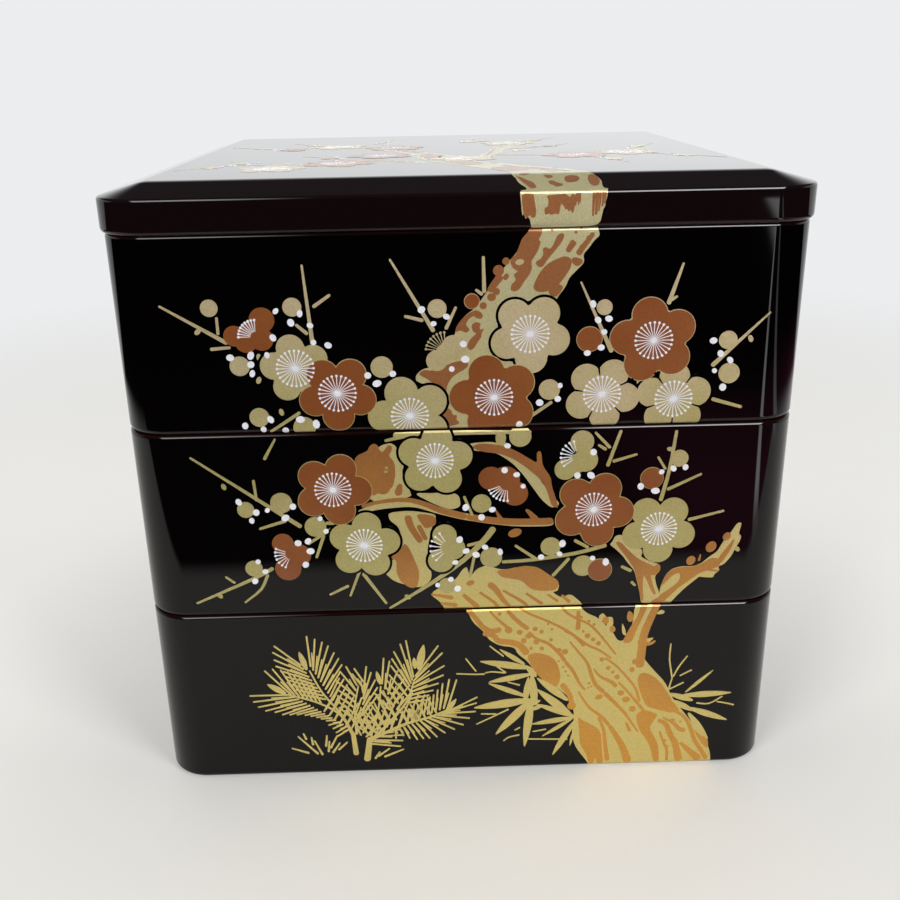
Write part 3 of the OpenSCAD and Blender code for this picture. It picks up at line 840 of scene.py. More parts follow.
        (1, 2, [(-30, 94.7), (-24.3, 96.1), (-17.1, 96.5), (-11.4, 94.9), (-6.4, 92.6), (0.7, 90.6)]),
        (2, 2.2, [(0.7, 90.6), (7.9, 89.2), (16.4, 88.4), (26.4, 88.4)]),
        (0.4, 1.6, [(9.3, 92.4), (11, 89)]), (0.8, 2.4, [(18.2, 92.4), (19.6, 91), (21.4, 88.6)]),
        (2.2, 1.8, [(-16.8, 91.5), (-15.7, 87.6), (-12.9, 82.6)]),
        (1.5, 1.4, [(-13.6, 88.3), (-11.4, 83.3)]),
        (2.2, 1.2, [(7.1, 68.3), (9.3, 66.1), (11.4, 62.6), (13.6, 60)]),
        (1.2, 1.8, [(-0.7, 64.7), (4, 60)]), (0.8, 1.2, [(4.3, 65.4), (8.6, 61.9), (10, 60)]),
        (0.7, 1.5, [(-10.4, 65.1), (-3.6, 63.6)]), (0.9, 1.6, [(-7.5, 61.9), (-2.4, 61)]),
        (0.8, 1.2, [(11.4, 65.8), (17.1, 61.9), (19, 60)]), (0.7, 1, [(25, 64), (28.4, 61.4)]),
        (0.8, 1.3, [(29.3, 63.6), (32, 61)]), (0.8, 1.2, [(18.4, 64.6), (23.6, 60.6)]),
        (0.5, 0.9, [(76.9, 70.4), (73.4, 71)]), (0.4, 0.8, [(71, 76.2), (70.6, 74)]),
    ],
}

BOTTOM = {
    "trunk": [
        [(0, 60.5), (2.1, 55), (5.7, 51.4), (7.1, 48.6), (10.4, 46.4), (15, 45.7), (16.1, 43.2),
         (19.3, 40.4), (22.1, 35.4), (27.9, 31.1), (33, 26.4), (34.4, 20), (33.6, 14), (34.3, 10),
         (35.4, 7.1), (39.3, 1.4), (39.5, -1), (79.4, -1), (79.3, 3.6), (77.1, 10), (72.9, 15), (70, 19.3),
         (65.7, 25), (62.9, 31.4), (58.6, 36.4), (55.4, 40.7), (55.6, 45), (58.9, 47.9), (55.4, 47.4),
         (57.5, 53.6), (60, 60.5), (52.1, 60.5), (51.4, 51.4), (48.9, 46.8), (47.1, 47.1), (45.4, 50.4),
         (40.7, 55.4), (37.1, 57.1), (34.3, 60.5)],
        [(42.2, 57), (43.4, 55.6), (42.6, 54), (41.2, 54.4), (41, 56)],
        [(43.6, 55.6), (45.4, 55.4), (45.6, 52.6), (44.4, 51.2), (43.4, 52.6)],
        [(48.2, 53.6), (49.4, 51), (49.8, 48.6), (48.4, 49.4)],
        [(60, 57.6), (61.4, 57), (60.8, 56), (58.6, 56)],
    ],
    "bark": [
        [(18.9, 42.9), (22.1, 43.6), (25.7, 42.5), (28.2, 40.4), (29.6, 35.7), (29.3, 32.1), (27.9, 30.6),
         (25.7, 31.8), (22.1, 35.7), (20, 39.3)],
        [(55, 35.4), (58.6, 34.3), (61.4, 31.4), (63.6, 27.9), (65.7, 24.3), (68.4, 20.4), (65.7, 19.8),
         (61.4, 21), (57.5, 22.5), (56.1, 25), (54.6, 29.3), (53.9, 32.9)],
        [(35.4, 19.6), (37.1, 17.9), (41.4, 15.4), (43.2, 12.9), (43.6, 7.1), (44.3, 1), (42, 1), (41.6, 4),
         (41, 1), (39.4, 1), (38.6, 5), (36.4, 8.6), (36.1, 13.6)],
        [(53.9, 19.6), (56.4, 21.4), (58.6, 20.7), (61.4, 19.3), (60.4, 17.9), (58.6, 14.3), (60.7, 10.7),
         (62.1, 7.1), (62.5, 1), (60.7, 1), (59.3, 7.1), (57.5, 10.7), (55.4, 13.6)],
        [(72.9, 13.6), (75.7, 10.7), (78, 9.6), (78.4, 5.7), (76.4, 7.1), (74.6, 10)],
        [(49.3, 46), (48.8, 47), (51, 52), (53.2, 56), (54, 60.4), (56.4, 60.4), (54.6, 55), (52.6, 50),
         (51.6, 46.4)],
        [(50, 57.6), (51.6, 56.6), (51.6, 54), (50.4, 53.4), (49.6, 55)],
    ],
    "bark_strokes": [
        (1.5, 1.9, [(0.6, 59.6), (3.2, 56.2), (5.3, 53.2), (8, 51.6), (11, 52.3)]),
        (1.6, 2.4, [(5.2, 50.9), (8.4, 50.1), (10.2, 48.1), (13.4, 47.6), (16.6, 46.4), (19.2, 43)]),
        (0.7, 1.1, [(7.4, 58.8), (9.3, 56.4), (13.4, 52.2)]),
        (1.3, 1.5, [(13, 58.4), (15.2, 55.8), (17.4, 53.6), (19.4, 52)]),
        (0.7, 1, [(16, 59.8), (20, 57.2), (25, 54.8), (30, 51.9), (33.6, 49.2), (36.8, 45.4)]),
        (0.9, 0.7, [(29.4, 59.4), (31.4, 57.2), (34, 55.4), (38, 53.2), (41, 50), (44, 46), (46.8, 42)]),
        (0.9, 0.8, [(30.4, 51.2), (33.6, 49.3), (37.9, 45.7), (41.4, 43.9), (45.4, 40.7)]),
        (0.9, 1.3, [(19.4, 51), (22, 48.4), (25.4, 46.8), (28.8, 43.4), (31, 40)]),
        (1.3, 0.8, [(31, 40), (33.5, 36.5), (35.7, 31.8), (37.6, 29.4)]),
        (0.6, 1.5, [(32.2, 47.2), (35.4, 42.9), (37.9, 39.3), (39.3, 35), (40.7, 31.4), (43.6, 28.2)]),
        (1.5, 0.6, [(43.6, 28.2), (47.1, 24.3), (50.4, 20.4), (52.9, 16.4), (55.2, 12.8)]),
        (0.6, 1.5, [(40, 37.1), (42.1, 34.3), (45.7, 32.1), (47.5, 30.2)]),
        (0.7, 1, [(43.4, 41), (47.1, 37.9), (50.7, 33.6), (53.6, 29.3), (55, 24.3)]),
        (0.7, 1.1, [(48, 32), (51.4, 27.9), (54.6, 23.6), (57, 20.4)]),
        (2, 1.5, [(30, 32), (32.5, 27.9), (33.5, 24.2)]),
        (0.6, 1.4, [(35.4, 28.9), (37.1, 25.7), (39.3, 22.5), (42.9, 19.3), (45.7, 15.7)]),
        (1.4, 2.8, [(45.7, 15.7), (48.2, 11.4), (50.4, 7.1), (52.4, 1)]),
        (0.9, 1.6, [(42.1, 19), (43.9, 14.3), (44.5, 9.3), (45.6, 2)]),
        (1.4, 2.6, [(61.2, 17.3), (63.9, 15.7), (65.7, 11.4), (67.5, 7.9), (69, 1)]),
        (0.8, 1, [(62.1, 12.9), (63.6, 8.6), (64.8, 5.7), (65, 1.5)]),
        (0.7, 1.7, [(62.9, 18.1), (66.4, 15.9), (68.4, 13.6), (70.4, 13)]),
        (1, 1.6, [(66.6, 20.6), (70, 17.9), (72.1, 13.6), (73.6, 9.3), (75.7, 5.7), (78, 1.6)]),
        (1, 3, [(69, 8.4), (72, 5.2), (75.7, 1.5)]), (0.8, 1.2, [(51, 16.8), (52.5, 13.2)]),
        (2.2, 2.8, [(59.2, 60.4), (56.8, 54), (55.2, 48.6), (54.8, 43), (54.4, 37)]),
        (0.6, 2.4, [(59, 46.6), (57, 45.6), (53.4, 46.4)]),
        (1.2, 1.6, [(34.6, 58), (34.8, 54.4), (34.6, 51.2)]),
    ],
    "bark_discs": [
        (13.2, 51.9, 1.2), (10.4, 57.6, 0.6), (13.2, 58.2, 0.7), (16.6, 51, 0.9), (21.4, 52, 0.8),
        (19.4, 49.6, 0.9, 1.2, 20), (23.4, 51, 0.7), (26.4, 48, 0.6), (21.8, 47.4, 0.9), (17.9, 48, 0.9),
        (23.6, 45, 0.7), (20.2, 45.2, 0.6), (25.4, 53.6, 0.4), (26.6, 51.8, 0.4), (29, 44.2, 0.8),
        (30.8, 43.6, 1), (28.9, 40.2, 0.4), (30.4, 38, 0.4), (31.2, 36.4, 0.4), (32, 34.8, 0.4),
        (44.6, 37.3, 0.8), (46.1, 35.7, 0.6), (47.5, 33.9, 0.9), (48.9, 27.9, 1, 1.1),
        (50.7, 25.4, 1.1, 1.2, 10), (52.9, 21.8, 1.1), (42.5, 40.4, 0.8), (38.7, 31.8, 0.5),
        (39.4, 30.6, 0.4), (38.4, 30.2, 0.3), (42, 26.6, 0.9, 1.5, 25), (33.4, 23.6, 1.4), (54.6, 26, 0.5),
        (66.1, 17.1, 0.6, 1.4), (68.6, 16.4, 0.4), (52.9, 39.3, 1), (52.1, 36.4, 0.9), (35.7, 55.7, 0.45),
        (38, 54.3, 0.5), (39.6, 53, 0.5), (36.3, 50.7, 0.5), (37.7, 49.1, 0.9), (39.5, 47.7, 0.7),
        (41.2, 46.3, 0.8), (43.2, 54.4, 1, 1.3, 100), (45.4, 51.2, 0.9, 1.3, 100), (64, 9.3, 0.5),
        (65, 7, 0.4),
    ],
}

# Beside the trunk on the bottom tier, in mm. A row of pine needles is (first root, last root, tips), with
# its roots spread evenly. A pine bud or bamboo leaf is (width, tip, base), a pine axis is (start width,
# end width, points), a stalk is (width, top, foot), and a blade of grass is (tip, base).

PINE_NEEDLES = [
    ((-55.1, 30.7), (-37.2, 17.5), [
        (-68.4, 30.7), (-67.5, 28.4), (-66.1, 26.4), (-63.9, 24.9), (-61, 24.3), (-58.7, 23.3),
        (-56.4, 23.2), (-54.1, 23.2), (-51.6, 22.9), (-49.8, 22.5), (-48, 22), (-46.6, 21.4), (-45, 20.6),
        (-44.3, 18.9), (-43, 17.5), (-42.1, 15.9), (-41.6, 14.6),
    ]),
    ((-55.4, 30.8), (-46, 27), [
        (-63, 39.8), (-60.5, 40.4), (-58, 40), (-55.9, 39.3), (-54.1, 37.9), (-52.3, 36.8), (-50.5, 35.9),
        (-49, 35),
    ]),
    ((-51.4, 41.2), (-44.5, 28.6), [
        (-59.4, 48.6), (-60, 46.3), (-59.8, 43.6), (-59.4, 41.3), (-57.3, 39.3), (-56.9, 37.5),
        (-55.9, 36.1), (-54.8, 34.3), (-53.7, 32.5), (-52, 30.6),
    ]),
    ((-48.5, 40.7), (-41.8, 26.6), [
        (-49.1, 51.8), (-46.6, 50.7), (-44.4, 49.6), (-42.6, 48.2), (-40.9, 45.7), (-39.6, 43.6),
        (-38.7, 41.3), (-39.3, 38.9), (-39.8, 36.4), (-39.8, 33.6), (-38.8, 31.4),
    ]),
    ((-34.4, 33.4), (-36.6, 21.4), [
        (-37.6, 40.6), (-39.4, 38.6), (-40.9, 35.4), (-40.9, 32.4), (-40.9, 30), (-40.9, 27.9),
        (-40.6, 25.6),
    ]),
    ((-32.3, 34.6), (-33.4, 22), [
        (-35.1, 39.8), (-35.9, 37.9), (-31.2, 40.4), (-29.8, 38.2), (-28.6, 35.4), (-28, 32.6), (-27.8, 30),
    ]),
    ((-26.6, 33.6), (-22.4, 24), [
        (-25.7, 43.2), (-23.9, 42.1), (-21.4, 38.6), (-19.6, 35.4), (-18.2, 32.6), (-17.4, 30.4),
    ]),
    ((-17, 29.6), (-24.6, 24), [
        (-23.2, 39.6), (-24.3, 37.1), (-25, 35), (-25.7, 32.9), (-27.4, 31.6), (-29, 30.4),
    ]),
    ((-16.6, 35.7), (-18.2, 31.4), [
        (-18.6, 49.3), (-20.4, 48.1), (-22.5, 45.5), (-23.2, 42.9), (-23.6, 40.4),
    ]),
    ((-16.1, 36.1), (-18.8, 26.4), [
        (-8.6, 47.1), (-7.3, 44.5), (-6.8, 39.8), (-7.1, 36.4), (-8.7, 33.4), (-10.4, 30.9), (-11.8, 29.1),
        (-12.3, 27.4),
    ]),
    ((-6.1, 24.3), (-19, 19.2), [
        (-3.1, 34.6), (-5.4, 34.9), (-7.5, 33.4), (-9.1, 31.1), (-10.4, 29.3), (-11.6, 28.6), (-12.6, 27.6),
        (-14, 26.4), (-15.4, 25.7), (-16.9, 25), (-18.4, 24.4),
    ]),
    ((-9.4, 21.6), (-19, 19), [
        (-12.6, 28.6), (-14.4, 27.8), (-16.2, 27), (-18, 26), (-19.8, 25), (-21.6, 24.2),
    ]),
    ((-5.6, 23), (-23, 16.6), [
        (3.4, 27.9), (3.2, 25.7), (2.9, 22.5), (0.9, 20), (-1.1, 17.5), (-3.9, 15.9), (-7, 14.6),
        (-9.6, 13.1), (-12, 12.7), (-14, 12.6), (-16, 12.3), (-18.4, 12.9), (-20.4, 13.9), (-22.9, 13),
    ]),
    ((-36.4, 20), (-31.6, 12.4), [
        (-33.2, 29), (-31.4, 27.4), (-29.6, 25.6), (-28, 23.6), (-25.6, 20.4), (-24.4, 11.4),
    ]),
    ((-34, 14.6), (-24, 18), [
        (-38, 24.6), (-36, 25), (-33.8, 25.4), (-31.6, 26), (-29.4, 27), (-27.4, 28),
    ]),
    ((-37.6, 16), (-45.4, 24), [
        (-33.6, 24.6), (-34.4, 27), (-35.6, 29.4), (-36.6, 31.6), (-37.4, 34), (-38.4, 36),
    ]),
    ((-30, 13.6), (-22.4, 20), [
        (-36.2, 19.4), (-34.8, 22), (-33, 24.4), (-30.8, 27), (-28.6, 29.6), (-26.4, 31.4),
    ]),
    ((-29.6, 14), (-17.4, 18.8), [
        (-25, 27), (-22.4, 28), (-20, 29), (-17.4, 29.4), (-15.2, 29.6), (-13.2, 29.4),
    ]),
    ((-31.4, 11.4), (-27, 15.4), [(-21.4, 10), (-20.6, 12.2), (-20.2, 14.4), (-21.4, 16.6)]),
]
PINE_BUDS = [
    (2.2, (-62.8, 35), (-56.9, 31.1)), (2, (-51.9, 46.6), (-49.8, 39.6)),
    (1.6, (-28.2, 38.7), (-27.1, 33.6)), (2.6, (-13, 48), (-15, 38.6)), (1.6, (-16.3, 43.2), (-16, 39)),
    (1.8, (-3.1, 27.7), (-6.8, 22.5)),
]
PINE_AXES = [
    (0.5, 0.9, [(-55.9, 30.6), (-47, 27.4), (-40, 22.4), (-36.4, 14)]),
    (0.5, 0.9, [(-49, 39.4), (-45.4, 31), (-40, 23), (-36.4, 15)]),
    (0.5, 0.8, [(-34, 33.4), (-35.6, 25), (-35.4, 15)]), (0.5, 0.8, [(-27, 33), (-28, 25), (-31, 14)]),
    (0.5, 1.1, [(-16.4, 35), (-19, 27), (-25, 19), (-31.2, 12.4)]),
    (0.6, 1.2, [(-6, 23.4), (-12, 20.8), (-20, 18.4), (-31, 13)]),
]
PINE_STALKS = [(1.8, (-36.6, 16), (-35.9, 7.1)), (2.2, (-31.2, 13.9), (-32.6, 4.6))]
GRASS = [
    ((-56.6, 10.5), (-51, 8.4)), ((-54.3, 15), (-48.1, 7.9)), ((-52.5, 16.1), (-51.6, 13.6)),
    ((-50, 14.6), (-49.6, 11.4)), ((-49.1, 13.2), (-46.7, 7.5)), ((-45, 15.1), (-45.5, 10.7)),
    ((-44.3, 12.9), (-44.8, 8.6)), ((-41.6, 15), (-44.1, 10)), ((-40.9, 12.1), (-43.5, 8.2)),
    ((-38.5, 12.3), (-41.6, 9.3)), ((-28.2, 8.2), (-30, 5.4)), ((-25, 9.4), (-28.9, 6.4)),
    ((-20.5, 8.9), (-27, 6.1)),
]
BAMBOO_LEAVES = [
    (1.7, (10, 45.4), (18.4, 39.3)), (2.6, (3.4, 41.1), (20, 38)), (2.2, (6.2, 33.1), (20.4, 35.8)),
    (1.9, (6.2, 33.1), (19.1, 27.5)), (3.2, (1.2, 23.7), (20.5, 26.3)), (3.1, (8.5, 12.8), (20.5, 26.3)),
    (2.9, (18.3, 7.4), (20.6, 27)), (2.8, (20.4, 36.7), (21.7, 24.2)), (2.1, (19.6, 35.4), (18.5, 25.2)),
    (2.6, (21.6, 34.8), (32.1, 25.7)), (3, (21.6, 30.7), (33.4, 20)), (2.1, (21.3, 24.9), (34.6, 19.5)),
    (2, (19.8, 16.9), (34.2, 19.2)), (1.4, (23.5, 11.9), (33.8, 18.8)), (2.2, (27.2, 4.2), (34.3, 17.6)),
    (0.9, (33.1, 7.9), (34.1, 13.7)), (2.1, (18.4, 39.3), (22, 34.8)), (1.6, (20.1, 22.3), (24.1, 24.1)),
    (2.1, (23.7, 26), (18.5, 24.3)), (1.2, (78.4, 35.9), (69.5, 27.4)), (2.3, (85.1, 26.9), (68.7, 26.3)),
    (2.4, (84.4, 16.3), (71.1, 21.5)), (2.3, (78.4, 8.8), (71, 19.6)), (2.1, (63.5, 27.4), (72.1, 24.3)),
    (2.1, (64.8, 25), (72.3, 20.5)),
]
BAMBOO_TWIGS = [
    [(7.3, 46.4), (11.7, 42.5)], [(-0.2, 42.2), (3.1, 37.3)], [(-3.2, 36.7), (2.3, 36.3), (5.8, 36.3)],
    [(5.8, 36.7), (8.2, 37), (12.1, 36.5)], [(9.4, 39.1), (12.5, 36.5)], [(4.4, 21.5), (9.4, 21.3)],
    [(2.9, 17.6), (7.8, 20.1), (13.3, 23)], [(11.6, 10.9), (13.4, 12.3), (16.8, 13.1)],
    [(15.2, 14.9), (17, 16)], [(19.6, 11.4), (32.4, 10.9)], [(21, 14.2), (25.4, 15)],
    [(12.9, 33.1), (16.9, 31.8)], [(63.9, 45.5), (63.8, 39.8), (65, 32.9)],
    [(69.4, 40.9), (66.9, 37), (65.3, 33.4)], [(65, 32.9), (63.9, 27.9)], [(67.3, 33.6), (71.1, 35.7)],
    [(64.4, 28.8), (68.8, 31.2)], [(81.6, 25.6), (77.4, 23), (73.3, 23.3)],
    [(79.8, 23.6), (82.6, 23), (85.5, 22.2)],
]

# On the lid, y is unrolled: the band and the bevel lie folded up level with the top
LID = {
    "trunk": [
        [(19.1, -109.1), (26.7, -108.9), (34.7, -108.5), (36.4, -107.9), (37.2, -106.9), (37.5, -105.6),
         (37.8, -103.9), (38.3, -103.1), (38.4, -101.8), (38.7, -100.9), (38.9, -99.2), (39.1, -97.5),
         (38.1, -97.4), (37.9, -95.2), (38.2, -92.7), (37.7, -89.9), (36.7, -87.3), (35.9, -85.6),
         (34, -80), (27, -70), (18, -58), (10, -48), (4, -36), (0, -24), (-4, -12), (-10, -2), (-18, 6),
         (-24, 10), (-26, 7), (-20, 0), (-14, -10), (-12, -22), (-10, -36), (-4, -50), (4, -62), (10, -72),
         (14, -80), (14.6, -87), (15.4, -89.2), (15.8, -92), (16.5, -93.9), (17.5, -95.7), (17.8, -97.4),
         (16.1, -97.9), (15.8, -99.2), (15.9, -100.3), (16.1, -102.1), (16.3, -104.4), (16.6, -105.3),
         (16.8, -104.1), (17.1, -105.3), (17.4, -106.1), (17.7, -105.3), (18.3, -105.9), (18.6, -106.7),
         (18.8, -108.2)],
        [(2, -38), (8, -26), (12, -12), (14, 2), (19, 16), (26, 28), (28, 26), (23, 14), (19, 0), (17, -14),
         (12, -30), (6, -42)],
        [(-8, -42), (-18, -36), (-30, -32), (-44, -34), (-58, -44), (-57, -46), (-44, -37), (-30, -36),
         (-20, -40), (-9, -50)],
    ],
    "bark": [
        [(16.2, -99.4), (19.3, -99.4), (19.5, -100.6), (19.7, -101.8), (20.1, -103.8), (20, -105.3),
         (19.5, -105.8), (18.8, -105.6), (18.4, -105), (17.9, -105.5), (17.5, -106), (17.2, -105),
         (16.9, -105.2), (16.5, -103.2), (16.3, -101.2)],
        [(22.6, -100), (26.5, -99.8), (27.6, -99.6), (28.6, -100.3), (28.9, -100.7), (29.4, -99.8),
         (29.9, -99.6), (30.2, -100.3), (30.6, -99.5), (31.9, -99.5), (31.9, -101.2), (31.6, -102.8),
         (31.4, -101.5), (31.2, -103.2), (30.8, -101.2), (30.6, -103.1), (30.3, -102.6), (30, -104.4),
         (29.6, -104.8), (29.2, -103.8), (28.7, -104.4), (28.2, -103.5), (27.8, -103.9), (27.4, -102.9),
         (26.7, -102.2), (26.5, -102.6), (26.3, -104.4), (26, -105.1), (25.2, -104.7), (24.2, -105.1),
         (23.4, -104.7), (22.4, -105.1), (22.2, -103.2), (23.2, -102.9), (23.3, -101.2)],
        [(15.6, -87.8), (17, -88.7), (18.1, -90.6), (19.5, -91.9), (20.1, -93.4), (20.5, -96),
         (19.7, -96.8), (18.6, -96.4), (17.9, -94.1), (17.1, -92.5), (16.5, -90.6)],
        [(23.1, -87.5), (24.6, -87.3), (25.5, -88), (25.5, -89.2), (24.1, -90.1), (23.4, -88.9)],
        [(23.9, -91.7), (25.3, -91.5), (26.2, -93.1), (27.9, -94), (27.2, -95.4), (25.7, -96.1),
         (24.9, -94.6), (24, -93.6)],
        [(28.5, -89.2), (30.3, -87.8), (32.1, -88.4), (32.7, -90.3), (31.6, -92.6), (29.3, -93.3),
         (28.4, -92)],
        [(35.1, -88.2), (36.6, -87.3), (37.5, -89.6), (37.8, -92.4), (37, -95.4), (35.6, -96.1),
         (34.8, -94.6), (34.6, -91.3)],
        [(14, -80), (20, -76), (24, -68), (16, -64), (10, -66), (10, -72)],
        [(4, -58), (10, -54), (6, -44), (-1, -40), (-4, -46)],
        [(-10, -28), (-4, -30), (-2, -22), (-6, -12), (-11, -14)],
        [(-12, -6), (-8, -4), (-16, 4), (-20, 4)],
    ],
    "bark_strokes": [
        (0.9, 0.5, [(35.3, -99.5), (35.2, -102.6), (35.1, -105.7)]),
        (1.1, 0.7, [(36.2, -99.4), (36.1, -102.3), (35.9, -105.3)]),
        (0.7, 0.4, [(37, -99.5), (36.9, -102.1), (36.6, -104.4)]),
        (0.8, 0.5, [(37.8, -99.4), (37.7, -101.8), (37.5, -103.2)]),
        (0.5, 0.3, [(38.4, -99.4), (38.3, -101.2), (38.1, -102.5)]),
        (2.2, 1.2, [(27, -82), (21, -70), (14, -60)]), (1.4, 0.8, [(31, -82), (27, -76), (22, -68)]),
        (1.6, 1, [(7, -36), (12, -20), (15, 0), (20, 14)]),
        (1.4, 0.8, [(-12, -42), (-24, -36), (-42, -36)]),
    ],
    "bark_discs": [(18, -86, 1.3, 1.2, 30), (24, -74, 1.1), (28, -72.6, 0.8), (12, -52, 1), (2, -34, 1.2)],
    "gold_blossoms": [
        (-55, -57, 10.5, 12), (3, -33, 11, 40), (-41, 27, 11, 30), (22, 30, 10.5, 8), (58, -20, 10.8, 54),
    ],
    "outlined": [1, 6],
    "brown_blossoms": [(-36, -43, 11.5, 66), (-24, -17, 10.6, 44), (-20, 17, 11.3, 20), (40, -28, 11, 30)],
    "gold_halves": [(12, 46, 3.6), (8, 42, 3.4), (9.6, 45, 3)],
    "brown_halves": [(-59.6, 20, 3.6), (-56, 15, 3.6), (-59, 16.6, 3)],
    "white_fans": [(9.6, 44.6, 5, 120, 200, 7, 1.8), (-58.6, 17, 5, 130, 210, 7, 1.8)],
    "gold_buds": [
        (-74, -50, 2.8), (-66, -38, 2.4), (-26, 44, 2.8), (-52, 38, 2.6), (34, 44, 2.8), (74, -38, 2.8),
        (66, 2, 2.6), (24, -4, 2.8), (-70, 26, 2.6), (50, -46, 2.6),
    ],
    "brown_buds": [(-40, -24, 3), (36, 12, 3)],
    "dots": [
        (-71.6, -46.6), (-69, -42.6), (-64, -41), (-62, -34.6), (-28, 40.4), (-23.4, 41), (-49, 36),
        (-46, 33), (31, 42), (28, 39.6), (71, -36), (69.4, -32), (64, -1), (61.6, -5), (22, -7.6),
        (26.6, -7), (-67, 24), (-64.4, 21.6), (48, -43), (46, -39), (-36, -26), (-38, -20), (33, 10),
        (31, 13.6), (37.6, 8),
    ],
    "twigs": [
        (0.6, 1.3, [(-84, -58), (-70, -44), (-58, -44)]), (0.6, 1, [(-72, -28), (-64, -40)]),
        (0.6, 1.3, [(-22, 58), (-26, 40), (-22, 26)]), (0.6, 1.2, [(-60, 48), (-48, 34), (-40, 28)]),
        (0.6, 1.3, [(-82, 34), (-66, 22), (-48, 22)]), (0.6, 1.3, [(44, 58), (32, 42), (26, 30)]),
        (0.7, 1.2, [(10, 56), (16, 40), (22, 28)]),
        (0.6, 1.4, [(84, -48), (70, -32), (54, -22), (40, -28), (14, -22)]),
        (0.6, 1.2, [(74, 14), (64, -2), (58, -18)]), (0.6, 1, [(52, -58), (47, -42), (40, -30)]),
        (0.6, 1.2, [(44, 22), (34, 10), (20, 2)]), (0.7, 1, [(-50, -14), (-42, -22), (-36, -36)]),
    ],
    "leaves": [(-78, -50.6, 0.7), (-24.4, 49, 0.7), (38, 51, 0.7), (78, -41, 0.7), (69, 6, 0.7)],
}


def flat_leaf(bm, width, tip, base):
    """A pointed leaf, widest at about two fifths of its length from the base."""
    a, b = Vector(tip), Vector(base)
    across = (b - a).normalized().orthogonal() * width / 2
    outline = [a, a.lerp(b, 0.3) + across * 0.75, a.lerp(b, 0.62) + across, b + across * 0.4,
               b - across * 0.4, a.lerp(b, 0.62) - across, a.lerp(b, 0.3) - across * 0.75]
    flat_outline(bm, outline, soft=0.3)


def paint_plum(tier, art, chance):
    """The plum branch on a tier or the lid, from its trunk up to the white stamens and dots."""
    art = defaultdict(list, art)
    plates = {name: bmesh.new() for name in PLATES}
    trunk, twigs, bark, dark, rims, gold, brown, gaps, white = plates.values()
    blossoms = art["gold_blossoms"] + art["brown_blossoms"]
    for outline in art["trunk"]:
        flat_outline(trunk, outline, soft=0.3)
    for outline in art["bark"]:
        flat_outline(bark, outline, soft=0.33)
    for strokes, plate in (("bark_strokes", bark), ("twigs", twigs)):
        for start, end, points in art[strokes]:
            flat_stroke(plate, points, start, end)
    for x, y, radius, *oval in art["bark_discs"]:
        flat_disc(bark, x, y, radius, DISC_SIDES, *oval)
    for x, y, radius in art["leaves"]:
        flat_disc(twigs, x, y, radius, KNOT_SIDES, KNOT_STRETCH, chance.uniform(*ANY_TURN))
    for i in art["outlined"]:
        flat_blossom(dark, *blossoms[i], grow=OUTLINE_GROW)
    for spot in art["gold_blossoms"]:
        flat_blossom(gold, *spot)
    for spot in art["brown_blossoms"]:
        flat_blossom(brown, *spot)
        flat_blossom(rims, *spot, grow=RIM_GROW)
    for i in art["parted"]:
        x, y, radius, turn = blossoms[i]
        for petal in range(5):
            out = Vector((1, 0)) @ Matrix.Rotation(-math.radians(turn + 36 + 72 * petal), 2)
            notch = Vector((x, y)) + out * GAP_START
            tip = Vector((x, y)) + out * (GAP_SHARE * radius + GAP_EXTRA)
            flat_stroke(gaps, [tip, notch], start=0.9, end=0.3)
    for petals, plate in (("gold_halves", gold), ("brown_halves", brown), ("half_outlines", dark)):
        for x, y, radius in art[petals]:
            flat_disc(plate, x, y, radius, HALF_PETAL_SIDES)
    for stamens, plate in (("gold_fans", gold), ("white_fans", white)):
        for fan in art[stamens]:
            flat_stamens(plate, *fan)
    for x, y, radius in art["gold_buds"]:
        flat_disc(gold, x, y, radius, DISC_SIDES)
    for x, y, radius in art["brown_buds"]:
        flat_disc(brown, x, y, radius, DISC_SIDES)
        flat_disc(rims, x, y, radius + BUD_RIM, DISC_SIDES)
    for x, y, _, _ in blossoms:
        flat_stamens(white, x, y, STAMEN_REACH)
    for x, y in art["dots"]:
        radius, stretch, turn = (chance.uniform(*span) for span in (DOT_RADIUS, DOT_STRETCH, ANY_TURN))
        flat_disc(white, x, y, radius, DOT_SIDES, stretch, turn)
    for (name, bm), (depth, material) in zip(plates.items(), PLATES.values()):
        if not bm.faces:
            bm.free()
        elif tier == "lid":
            lay_on_lid(name, bm, depth * LID_SHARE, material)
        else:
            lay_on_front(name, bm, tier, depth, material)


def paint_pine_and_bamboo():
    """The young pine, the grass and the bamboo leaves beside the trunk on the bottom tier."""
    pine, bamboo = bmesh.new(), bmesh.new()
    for first, last, tips in PINE_NEEDLES:
        for i, tip in enumerate(tips):
            root = Vector(first).lerp(Vector(last), i / (len(tips) - 1))
            flat_stroke(pine, [tip, root], start=0.55, end=0.62)
            if i:
                middle = (Vector(tips[i - 1]) + Vector(tip)) / 2
                flat_stroke(pine, [root.lerp(middle, 0.55), root], start=0.4, end=0.55)
    for width, tip, base in PINE_BUDS:
        flat_leaf(pine, width, tip, base)
    for start, end, points in PINE_AXES:
        flat_stroke(pine, points, start, end)
    for width, top, foot in PINE_STALKS:
        flat_stroke(pine, [top, foot], width * 0.8, width)
    for tip, base in GRASS:
        flat_stroke(pine, [tip, base], start=0.5, end=0.8)
    for width, tip, base in BAMBOO_LEAVES:
        flat_leaf(bamboo, width, tip, base)
    for points in BAMBOO_TWIGS:
        flat_stroke(bamboo, points, start=0.45, end=0.55)
    lay_on_front("pine", pine, "bottom", PINE_THICKNESS, TRUNK_GOLD)
    lay_on_front("bamboo", bamboo, "bottom", BAMBOO_THICKNESS, TRUNK_GOLD)


for tier, art, seed in (("top", TOP, 3), ("middle", MIDDLE, 5), ("bottom", BOTTOM, 7), ("lid", LID, 9)):
    paint_plum(tier, art, random.Random(seed))
paint_pine_and_bamboo()


# Studio: floor, backdrop, lamps and camera

